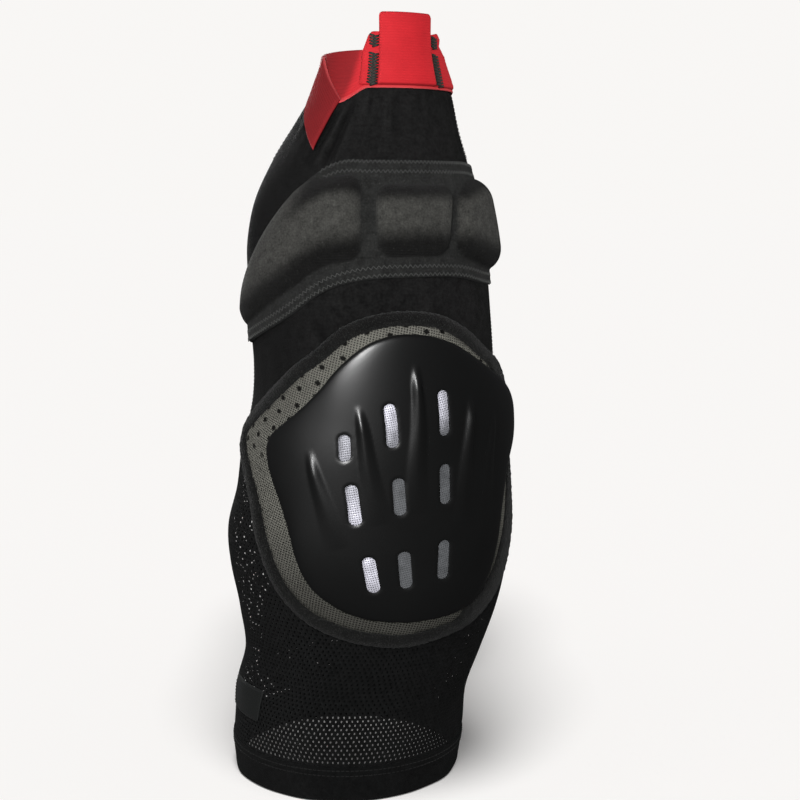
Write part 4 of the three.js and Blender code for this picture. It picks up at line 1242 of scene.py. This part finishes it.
def seamTop(angle, z):
    # Height of the flat seam, thinner towards the front.
    return pad["seamLift"] + pad["seam"] * (1 - pad["seamThin"] * smoothStep(-angle, *pad["seamThinAt"]))


def puffed(points, normals, held, s):
    # Cloth held along its seams and blown up from inside; no point moves further than the cap.
    shape = points.reshape(-1, 3), gridQuads(*points.shape[:2]), noTris, None, {}
    sheet = makeObject("padTrial", shape, "padCloth", closed=False)
    faceOut = (np.array([v.normal for v in sheet.data.vertices]) * normals.reshape(-1, 3)).sum()
    if faceOut < 0:
        sheet.data.flip_normals()
    seam = sheet.vertex_groups.new(name="held")
    seam.add([int(i) for i in np.nonzero(held.ravel())[0]], 1.0, "REPLACE")
    cloth = sheet.modifiers.new("puff", "CLOTH")
    cloth.settings.vertex_group_mass = "held"
    cloth.settings.use_pressure = True
    cloth.settings.uniform_pressure_force = s["pressure"]
    cloth.settings.effector_weights.gravity = 0
    cloth.settings.quality = s["quality"]
    cloth.settings.mass = s["mass"]
    cloth.settings.tension_stiffness = s["stiffness"]
    cloth.settings.compression_stiffness = s["stiffness"]
    cloth.settings.bending_stiffness = s["bending"]
    cloth.collision_settings.use_collision = False
    for frameNumber in range(1, s["frames"] + 1):
        scene.frame_set(frameNumber)
    moved = np.empty(len(sheet.data.vertices) * 3)
    result = sheet.evaluated_get(bpy.context.evaluated_depsgraph_get())
    result.data.vertices.foreach_get("co", moved)
    shift = moved.reshape(points.shape) / toMetres - points
    size = np.linalg.norm(shift, axis=-1, keepdims=True)
    shift *= np.minimum(1, s["cap"] / np.maximum(size, 1e-6))
    bpy.data.objects.remove(sheet)
    scene.frame_set(1)
    print("pad puffed by up to", round(float(size.max()), 2), "mm before the cap")
    return points + shift


def padMesh(s):
    # Angles along the pad and even shares of the way from its top edge to its bottom one. The seam
    # thins to its rim as a square root of the distance from it, and the chambers stand on the seam.
    angle = np.linspace(s["edges"][0, 0], s["edges"][-1, 0], s["columns"])[None, :]
    drop = np.linspace(0, 1, s["rows"])[:, None]
    angle, drop = np.broadcast_arrays(angle, drop)
    top, bottom = padEdges(angle)
    z = top + (bottom - top) * drop
    rim = np.minimum(np.minimum(drop, 1 - drop) * (top - bottom),
                     np.minimum(angle - angle.min(), angle.max() - angle) * s["arc"])
    thin = np.sqrt(np.clip(rim / s["seamRound"], s["seamLeast"], 1))
    seam = s["seamLift"] + (seamTop(angle, z) - s["seamLift"]) * thin
    height, shade = padHeight(angle, z, s)
    normals = bodyNormal(angle, z)
    outer = bodyPoint(angle, z) + normals * (seam + height)[..., None]
    outer = puffed(outer, normals, height < s["pinned"], s)
    uv = np.stack([angle * s["arc"], z], -1)
    return closedPatch(outer, onBody(angle, z, s["under"]), uv, gridQuads(*angle.shape),
                       seam=1 - smoothStep(height, *s["tape"]), shade=shade)


for piece in makePair("hip_cover", padMesh(pad), "padCloth", "pad_cloth", "hip_pad", sharp=70):
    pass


def padThreads(s):
    # Rows of zigzag stitches that follow the pad's upper and lower edges.
    angle = np.linspace(*s["stitchEnds"], s["stitchSteps"])
    top, bottom = padEdges(angle)
    upper = angle < s["topStitchEnd"]
    lines = [(angle[upper], top[upper] - inset) for inset in s["topStitches"]]
    lines += [(angle, bottom + inset) for inset in s["lowStitches"]]
    surface = surfaceOf(s["arc"], seamTop)
    return stitchShape([zigzagOn(np.stack([a * s["arc"], z], -1), surface, s) for a, z in lines])


makePair("hip_stitches", padThreads(pad), "padThread", "pad_cloth")
print("hip pads made")

# Thigh shield: grey foam base, its binding, the silver layer and the moulded shell

shield = {
    "arc": 1.6,
    "baseEdges": [                # angle, top, bottom
        (65, -226, -232), (59, -217, -244), (50, -206, -263), (40, -194, -292), (31, -183, -322),
        (21, -173, -338), (8, -158, -347), (-5, -151, -351.5), (-17, -149.5, -353), (-30, -152, -350),
        (-43, -161, -345), (-55, -173, -333), (-61, -178, -322), (-72, -188, -292), (-84, -202, -258),
        (-92, -211, -243), (-97, -222, -232)],
    "baseStep": 1.2, "baseCell": 2.6, "baseUnder": 0.6, "baseTop": 6.6,
    "baseSlope": 1.5, "slopeReach": 26.0, "baseDrop": 1.2, "baseRound": 3.0,
    "bindingSides": 14, "bindingWidth": 9.4, "bindingOut": 0.86, "bindingRise": 3.0, "bindingSquare": 0.85,
    "bindingLeast": 0.35, "bindingMap": 3.0,
    "pile": 0.035, "pileRound": 9.0, "pileWaves": [(5.3, 6.1, 0, 1), (3.1, -4.7, 2, 1), (8.9, 11, 4, 1)],
    "bindingInward": 9.0, "spreadAt": (36, 46), "spreadTurn": 24.0, "spreadLevels": (-290, -215),
    "spreadRise": 1.2, "spreadOver": 2.0,        # the binding spreads inwards on the front side
    "shellEdges": [               # angle, top, bottom
        (43.5, -226, -233), (40, -219, -246), (35, -212, -261), (28, -202, -285), (21, -191, -315),
        (12, -175, -329.5), (1, -161.5, -338), (-9, -156, -341), (-17, -155.2, -341.8), (-26, -157, -341),
        (-37, -163, -338), (-45, -170, -331), (-52, -176.5, -312), (-58, -182, -283), (-65, -188, -256),
        (-76, -199, -238), (-86, -213, -224)],
    "shellStep": 0.9, "shellCell": 1.05, "shellGap": 0.5, "shellRise": 6.5, "shellWall": 2.2,
    "rimRound": 3.0, "rimDrop": 0.6, "cutRound": 1.2, "cutDrop": 0.5,
    "ribs": [                     # angle, z, end angle, end z, rise
        (22.0, -228, 8.5, -290, 3.2), (5.0, -198, -5, -274, 4.2), (-17.2, -172, -17.7, -268, 4.4),
        (-40, -195, -35, -280, 4.2), (-53, -206, -43, -300, 1.6)],
    "ribTop": 2.2, "ribFoot": 7.4, "ribNose": 19.0, "ribWiden": 0.8, "ribLower": 0.9, "ribRound": 1.5,
    "slotWidth": 7.2,
    "slots": [                    # angle and z of both ends, swell of the cloth, share of plain grey above and below (less is painted highlight)
        (9.5, -218, 8, -235, 0.9, 0.62, 0.6), (5.5, -249, 3, -275, 1.3, 0.55, -0.1),
        (-1.5, -295, -3.5, -319, 1.5, 0.0, -0.25), (-6.5, -198, -8.5, -226, 1.2, -0.2, 0.75),
        (-11, -245, -12, -269, 0.15, 1, 1), (-13.5, -292, -14.5, -317, 0.15, 1, 1),
        (-27.5, -191, -28, -220, 1.3, -0.9, 0.9), (-28.5, -238, -28.5, -264, 0.1, 1, 1),
        (-28, -287, -27.5, -313, 0.1, 1, 1)],
    "centre": (-18, -246), "silverShare": 0.86, "silverCell": 1.7, "silverGap": 0.9, "silverThick": 3.0,
    "silverLeast": 0.2, "swellReach": 1.6, "slotReach": 2.5,
}
baseOutline = closedCurve(tableOutline(shield["baseEdges"], shield["arc"]), shield["baseStep"])
shellOutline = closedCurve(tableOutline(shield["shellEdges"], shield["arc"]), shield["shellStep"])


def shellUnder(place, s):
    # Under side of the shell: a dome over the base from the cubes of the places across and down, none
    # along the shell's edge and whole in its middle.
    rows = np.array(s["shellEdges"], float)
    angle = place[:, 0] / s["arc"]
    top, bottom = (curveThrough(rows[:, 0], rows[:, k], angle) for k in (1, 2))
    across = (2 * angle - rows[0, 0] - rows[-1, 0]) / (rows[0, 0] - rows[-1, 0])
    down = (2 * place[:, 1] - top - bottom) / (bottom - top)
    dome = np.sqrt(np.clip(1 - np.abs(across) ** 3, 0, 1) * np.clip(1 - np.abs(down) ** 3, 0, 1))
    return s["baseTop"] + s["shellGap"] + s["shellRise"] * dome


def baseMesh(s):
    # A flat layer that slopes down over a set width and is rounded over at its edge by a square root.
    place, inside, quads, tris = cutGrid(baseOutline, s["baseCell"])
    slope = s["baseSlope"] * (1 - smoothStep(inside, 0, s["slopeReach"]))
    rounding = s["baseDrop"] * (1 - np.sqrt(np.clip(inside / s["baseRound"], 0, 1)))
    return layerOn(place, s["arc"], s["baseTop"] - slope - rounding, s["baseUnder"], quads, tris)


def bindingMesh(s):
    # A flattened roll carried round the base's outline, its surface roughened by waves too short to repeat;
    # it spreads inwards to the shell on the front side.
    way = unit(np.roll(baseOutline, -1, 0) - np.roll(baseOutline, 1, 0))
    out = np.stack([way[:, 1], -way[:, 0]], -1)
    grown, _ = edgeDistance(baseOutline + out * 0.5, baseOutline)
    out = out * (-1 if np.median(grown) > 0 else 1)
    turn = fullTurn * np.arange(s["bindingSides"]) / s["bindingSides"]
    length = np.arange(len(baseOutline))[:, None] * s["baseStep"]
    rough = 1 + s["pile"] * waves(length, turn[None, :] * s["pileRound"], s["pileWaves"])
    turned = s["spreadTurn"] * smoothStep(baseOutline[:, 1], *s["spreadLevels"])
    spread = smoothStep(-baseOutline[:, 0] / s["arc"] - turned, *s["spreadAt"])[:, None]
    reach = s["bindingWidth"] / 2 * (s["bindingOut"] + np.cos(turn)[None, :] * rough)
    reach = reach - s["bindingInward"] * spread * (1 - np.cos(turn)) / 2
    bulge = np.sign(np.sin(turn)) * np.abs(np.sin(turn)) ** s["bindingSquare"] * rough
    height = s["baseUnder"] + s["bindingRise"] * (1 + bulge)
    height = np.maximum(height + s["spreadRise"] * spread * (height > s["spreadOver"]), s["bindingLeast"])
    place = baseOutline[:, None] + out[:, None] * reach[..., None]
    verts = onBody(place[..., 0] / s["arc"], place[..., 1], height).reshape(-1, 3)
    uv = np.stack(np.broadcast_arrays(length, turn * s["bindingMap"]), -1).reshape(-1, 2)
    return verts, gridQuads(*height.shape, True, True), noTris, uv, {}


def slotOutline(slot, s, steps=14):
    # A round-ended slot: half a circle about each end.
    ends = np.array([(slot[0] * s["arc"], slot[1]), (slot[2] * s["arc"], slot[3])])
    run = unit(ends[1] - ends[0])
    aside = np.array([-run[1], run[0]])
    turn = np.linspace(0, math.pi, steps)
    half = s["slotWidth"] / 2
    upper = ends[0] + run * half + half * (np.outer(np.cos(turn), aside) - np.outer(np.sin(turn), run))
    lower = ends[1] - run * half + half * (-np.outer(np.cos(turn), aside) + np.outer(np.sin(turn), run))
    return np.concatenate([upper, lower])


def ribRise(place, s):
    # A ridge along each rib's line: it climbs over a narrow nose, then gets wider and lower until
    # it is lost in the shell.
    rise = np.zeros(len(place))
    for angle, z, lowAngle, lowZ, height in s["ribs"]:
        start, end = np.array([angle * s["arc"], z]), np.array([lowAngle * s["arc"], lowZ])
        run = end - start
        length = np.linalg.norm(run)
        along = (place - start) @ run / length
        off = np.abs((place - start) @ np.array([-run[1], run[0]]) / length)
        t = np.clip(along / length, 0, 1)
        flank = np.clip(1 - off / (s["ribTop"] + (s["ribFoot"] - s["ribTop"]) * t ** s["ribWiden"]), 0, 1)
        crest = height * smoothStep(along, 0, s["ribNose"]) * (1 - t) ** s["ribLower"]
        rise = np.maximum(rise, crest * (1 - (1 - flank) ** s["ribRound"]))
    return rise


def shellMesh(s):
    # The dome with its ribs, cut through by the slots; a square root rounds every cut over, and a
    # quarter circle the rim.
    slots = [slotOutline(slot, s) for slot in s["slots"]]
    place, inside, quads, tris = cutGrid(shellOutline, s["shellCell"], slots)
    under = shellUnder(place, s)
    fromRim, _ = edgeDistance(place, shellOutline)
    tilt = np.clip(1 - fromRim / s["rimRound"], 0, 1)
    cut = s["cutDrop"] * (1 - np.sqrt(np.clip(inside / s["cutRound"], 0, 1)))
    rim = s["rimDrop"] * (1 - np.sqrt(1 - tilt ** 2))
    over = under + s["shellWall"] + ribRise(place, s) - cut - rim
    return layerOn(place, s["arc"], over, under, quads, tris)


def silverMesh(s):
    # The silver layer just under the shell, its outline drawn in towards the shield's centre. It swells into
    # each slot, and its painted highlight changes smoothly from the slot's top to its bottom; away from the
    # slots it is plain grey.
    centre = np.array([s["centre"][0] * s["arc"], s["centre"][1]])
    place, _, quads, tris = cutGrid(centre + s["silverShare"] * (shellOutline - centre), s["silverCell"])
    over = shellUnder(place, s) - s["silverGap"]
    rubbed = np.ones(len(place))
    for slot in s["slots"]:
        _, top, _, bottom, swell, topPlain, lowPlain = slot
        inSlot, _ = edgeDistance(place, slotOutline(slot, s))
        over += swell * smoothStep(inSlot, -s["swellReach"], s["slotWidth"] / 2)
        # Near each slot the stored share runs from its bottom value to its top one; below one it paints a
        # highlight.
        rub = lowPlain + (topPlain - lowPlain) * smoothStep(place[:, 1], bottom, top)
        rubbed = np.where(inSlot > -s["slotReach"], rub, rubbed)
    under = np.maximum(over - s["silverThick"], s["baseTop"] + s["silverLeast"])
    return layerOn(place, s["arc"], over, under, quads, tris, rubbed=rubbed)


base, silver = baseMesh(shield), silverMesh(shield)
shell, binding = shellMesh(shield), bindingMesh(shield)
for piece in makePair("foam_base", base, "spacerMesh", "spacer_mesh", "shield_base", sharp=70):
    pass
for piece in makePair("silver_layer", silver, "silverCloth", "silver_cloth", "silver_insert", sharp=60):
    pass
makePair("moulded_shell", shell, "shellPlastic", "shield_plastic", "thigh_shield", sharp=48)
for piece in makePair("rolled_binding", binding, "bindingPile", "binding", "shield_binding", sharp=80):
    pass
print("thigh shields made")

# Mesh legs and hems

leg = {
    "tableTop": -236.0, "tableBottom": -473.0, "tableRows": 90, "tableSteps": 720, "tableShares": 1024,
    "top": -239.6, "bottom": -448.5, "wales": 138, "courses": 73, "bend": 0.17,
    "lift": 0.45, "strand": 0.6, "holeWidth": 1.06, "holeHeight": 1.58,
    "holeX": np.array([-0.42, 0, 0.42, 0.42, 0, -0.42]),
    "holeZ": np.array([0.28, 0.5, 0.28, -0.28, -0.5, -0.28]),
    "frontTight": 0.5, "tightAt": (8, 58),       # holes close up towards the front of the leg
    "folds": [(5, 260, 0.4, 0.8), (8, -170, 2.2, 0.5), (3, 95, 1.1, 0.7)],   # turns, length, shift, size
    "wander": [(2, 83, 0.2, 0.0035), (5, -47, 1.7, 0.0016), (3, 31, 4.1, 0.0009)],
    "foldTop": (240, 300), "foldBottom": (-447, -425),
}


def roundTable(s):
    # For heights down the leg, the angle at even shares of the way round, and the length round.
    z = np.linspace(s["tableTop"], s["tableBottom"], s["tableRows"])
    angle = np.linspace(-180, 180, s["tableSteps"] + 1)
    length = np.linalg.norm(np.diff(bodyPoint(angle[None, :], z[:, None]), axis=1), axis=-1)
    along = np.concatenate([np.zeros((len(z), 1)), np.cumsum(length, 1)], 1)
    share = np.linspace(0, 1, s["tableShares"])
    return z, np.stack([np.interp(share, row / row[-1], angle) for row in along]), along[:, -1]


legZ, legTable, legRound = roundTable(leg)


def legAngle(share, z):
    # The angle at a share of the way round, read between the rows and columns of the table.
    row = np.clip((legZ[0] - z) / (legZ[0] - legZ[-1]) * (len(legZ) - 1), 0, len(legZ) - 1.001)
    column = np.clip(share, 0, 1) * (legTable.shape[1] - 1.001)
    i, j = row.astype(int), column.astype(int)
    a, b = row - i, column - j
    upper = legTable[i, j] * (1 - b) + legTable[i, j + 1] * b
    lower = legTable[i + 1, j] * (1 - b) + legTable[i + 1, j + 1] * b
    return upper * (1 - a) + lower * a


def onLeg(share, z, height):
    # The leg's surface moved out by a height and by shallow folds, which end short of the seam and the hem.
    ends = smoothStep(-z, *leg["foldTop"]) * smoothStep(z, *leg["foldBottom"])
    return onBody(legAngle(share % 1.0, z), z, height + roundWaves(share, z, leg["folds"]) * ends)


def surfaceRound(length, height):
    # Places given as length round the leg and height, on the leg's surface at a height above it.
    def surface(spots):
        share, z = spots[:, 0] / length, spots[:, 1]
        return onLeg(share, z, height), bodyNormal(legAngle(share % 1.0, z), z)
    return surface


def lineRound(length, z, steps=400):
    # A level line once round the leg.
    return np.stack([np.linspace(0, 1, steps) * length, np.full(steps, z)], -1)


def legNet(s):
    # A net of six-sided cells in staggered rows, each with a six-sided hole: cell corners alternate
    # up and down along every row line, and the hole's corners lie at the same six directions. Slow
    # sines make the columns stray round the leg.
    wales, courses = s["wales"], s["courses"]
    pitch = (s["top"] - s["bottom"]) / courses
    m, k = np.meshgrid(np.arange(courses + 1), np.arange(2 * wales), indexing="ij")
    bend = np.where((k % 2) == (m % 2), s["bend"], -s["bend"]) * ((m > 0) & (m < courses))
    share = k / (2 * wales)
    z = s["top"] - (m - bend) * pitch
    corners = onLeg(share + roundWaves(share, z, s["wander"]), z, s["lift"])
    j, c = np.meshgrid(np.arange(courses), np.arange(wales), indexing="ij")
    centre = 2 * c + (j % 2)
    besides, downs = np.array([-1, 0, 1, 1, 0, -1]), np.array([0, 0, 0, 1, 1, 1])
    ringIndex = (j[..., None] + downs) * 2 * wales + (centre[..., None] + besides) % (2 * wales)
    middle = s["top"] - (j + 0.5) * pitch
    middleShare = centre / (2 * wales)
    around = np.interp(-middle, -legZ, legRound)
    tight = 1 - s["frontTight"] * smoothStep(-legAngle(middleShare % 1.0, middle), *s["tightAt"])
    holeShare = middleShare[..., None] + s["holeX"] * (tight * s["holeWidth"] / around)[..., None]
    holeZ = middle[..., None] + s["holeZ"] * (tight * s["holeHeight"])[..., None]
    holes = onLeg(holeShare + roundWaves(holeShare, holeZ, s["wander"]), holeZ, s["lift"] - s["strand"])
    holeIndex = z.size + np.arange(holeZ.size).reshape(holeZ.shape)
    after = np.roll(np.arange(6), -1)
    quads = np.stack([ringIndex, ringIndex[..., after], holeIndex[..., after], holeIndex], -1).reshape(-1, 4)
    width = float(legRound.mean())
    verts = np.concatenate([corners.reshape(-1, 3), holes.reshape(-1, 3)])
    uv = np.concatenate([np.stack([part * width, high], -1).reshape(-1, 2)
                         for part, high in ((share, z), (holeShare, holeZ))])
    return verts, quads, noTris, uv, {}


for piece in makePair("leg_net", legNet(leg), "legNet", "open_mesh", "leg_mesh", closed=False, sharp=89):
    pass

hem = {
    "top": -446.6, "bottom": -471.0, "outside": 1.1, "inside": 1.5,
    "columns": 220, "outerRows": 12, "turnRows": 7, "innerRows": 8, "mapClose": 2.0,
    "ripple": [(9, 60, 0.5, 0.35), (14, -45, 1.2, 0.2)], "rippleFrom": 12.0,   # turns, length, shift, size
    "stitchRows": [-449.4, -453.0], "stitchLift": 0.12,
    "stitchLength": 2.3, "stitchPitch": 3.1, "stitchRadius": 0.3,
}


def hemMesh(s):
    # A turned hem: a flat oblong profile with a round lower fold, carried round the leg, with small ripples.
    r = (s["outside"] + s["inside"]) / 2
    turn = np.linspace(0, math.pi, s["turnRows"])[1:-1]
    outside = [(s["outside"], z) for z in np.linspace(s["top"], s["bottom"] + r, s["outerRows"])]
    foldRound = [(s["outside"] - r + r * math.cos(t), s["bottom"] + r - r * math.sin(t)) for t in turn]
    inside = [(-s["inside"], z) for z in np.linspace(s["bottom"] + r, s["top"], s["innerRows"])]
    profile = np.array(outside + foldRound + inside)
    columns = s["columns"]
    share, z = np.broadcast_arrays((np.arange(columns) / columns)[None, :], profile[:, 1:])
    ripple = roundWaves(share, z, s["ripple"]) * smoothStep(s["top"] - z, 0, s["rippleFrom"])
    verts = onLeg(share, z, profile[:, :1] + ripple).reshape(-1, 3)
    length = lengthAlong(profile)
    around = np.arange(columns + 1) / columns * float(legRound[-1])
    uv = cornerMap(*np.meshgrid(around, np.append(length, length[-1] + s["mapClose"])))
    return verts, gridQuads(*share.shape, True, True), noTris, uv, {}


for piece in makePair("turned_hem", hemMesh(hem), "hemJersey", "black_hem", "hem", sharp=70):
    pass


def hemThreads(s):
    # Two rows of straight stitches round the hem, set on the same folds as its cloth.
    length = float(legRound[-1])
    surface = surfaceRound(length, s["outside"] + s["stitchLift"])
    return stitchShape([dashesOn(lineRound(length, z), surface, s) for z in s["stitchRows"]])


makePair("hem_stitches", hemThreads(hem), "darkThread", "black_hem")

label = {
    "front": 49, "back": 80, "top": -404, "bottom": -426, "corner": 1.6, "cell": 0.9,
    "under": 0.9, "cloth": 0.8, "rimRound": 1.0, "rimLeast": 0.12,
    "stitchInset": 1.5, "stitchLift": 0.1, "stitchLength": 1.6, "stitchPitch": 2.3, "stitchRadius": 0.2,
}
labelRow = int(np.argmin(np.abs(legZ - (label["top"] + label["bottom"]) / 2)))
labelRound = float(legRound[labelRow])


def labelOutline(s, inset=0.0, steps=6):
    # An oblong with a quarter circle at each corner, as lengths round the leg and heights.
    shares = np.linspace(0, 1, legTable.shape[1])
    ends = np.interp([s["front"], s["back"]], legTable[labelRow], shares) * labelRound
    left, right = ends[0] + inset, ends[1] - inset
    low, high, r = s["bottom"] + inset, s["top"] - inset, s["corner"]
    turn = np.linspace(0, math.pi / 2, steps)
    quarter = np.stack([np.cos(turn), np.sin(turn)], -1) * r
    corners = [(right - r, high - r), (left + r, high - r), (left + r, low + r), (right - r, low + r)]
    spin = np.array([[0, 1], [-1, 0]])
    return np.concatenate([np.array(middle) + quarter @ np.linalg.matrix_power(spin, k)
                           for k, middle in enumerate(corners)])


def labelMesh(s):
    # A flat patch on the leg, rounded over at its edge by a square root.
    place, inside, quads, tris = cutGrid(labelOutline(s), s["cell"])
    share, z = place[:, 0] / labelRound, place[:, 1]
    height = s["under"] + s["cloth"] * np.sqrt(np.clip(inside / s["rimRound"], s["rimLeast"], 1))
    return closedPatch(onLeg(share, z, height), onLeg(share, z, s["under"]), place, quads, tris)


def labelThreads(s):
    # Straight stitches just inside the label's edge.
    outline = labelOutline(s, s["stitchInset"])
    surface = surfaceRound(labelRound, s["under"] + s["cloth"] + s["stitchLift"])
    return stitchShape([dashesOn(np.concatenate([outline, outline[:1]]), surface, s)])


piece = setPiece(makeObject("bare_label", labelMesh(label), "labelSatin"), "label", "hem_label")
setPiece(makeObject("label_stitches", labelThreads(label), "darkThread"), "label")
print("legs, hems and label made")

# Seams of the body: zigzag rows along the side seams and the leg seams

seams = {
    "stitchWidth": 3.2, "stitchPitch": 2.6, "stitchRadius": 0.3, "lift": 0.35, "steps": 200,
    "top": -2, "bottom": -239, "legZ": -240.2, "legLift": 0.55,
    "sides": [(-90, -44, -132), (90, -44, -172)],   # angle, and heights between which the pad hides it
}


def seamHeight(angle, z):
    # Just over the jersey's relief.
    return jerseyRelief(angle * jersey["waistArc"], z, jersey) + seams["lift"]


def bodySeams(s):
    # Zigzags down the side seams above and below the pad, and once round each leg's seam.
    z = np.linspace(s["top"], s["bottom"], s["steps"])
    surface = surfaceOf(jersey["mapArc"], seamHeight)
    parts = []
    for angle, hideTop, hideLow in s["sides"]:
        for part in (z[z > hideTop], z[z < hideLow]):
            line = np.stack([np.full(len(part), angle * jersey["mapArc"]), part], -1)
            parts.append(zigzagOn(line, surface, s))
    length = float(legRound[0])
    parts.append(zigzagOn(lineRound(length, s["legZ"]), surfaceRound(length, s["legLift"]), s))
    return stitchShape(parts)


makePair("body_stitches", bodySeams(seams), "darkThread", "black_jersey")
print("stitches made")
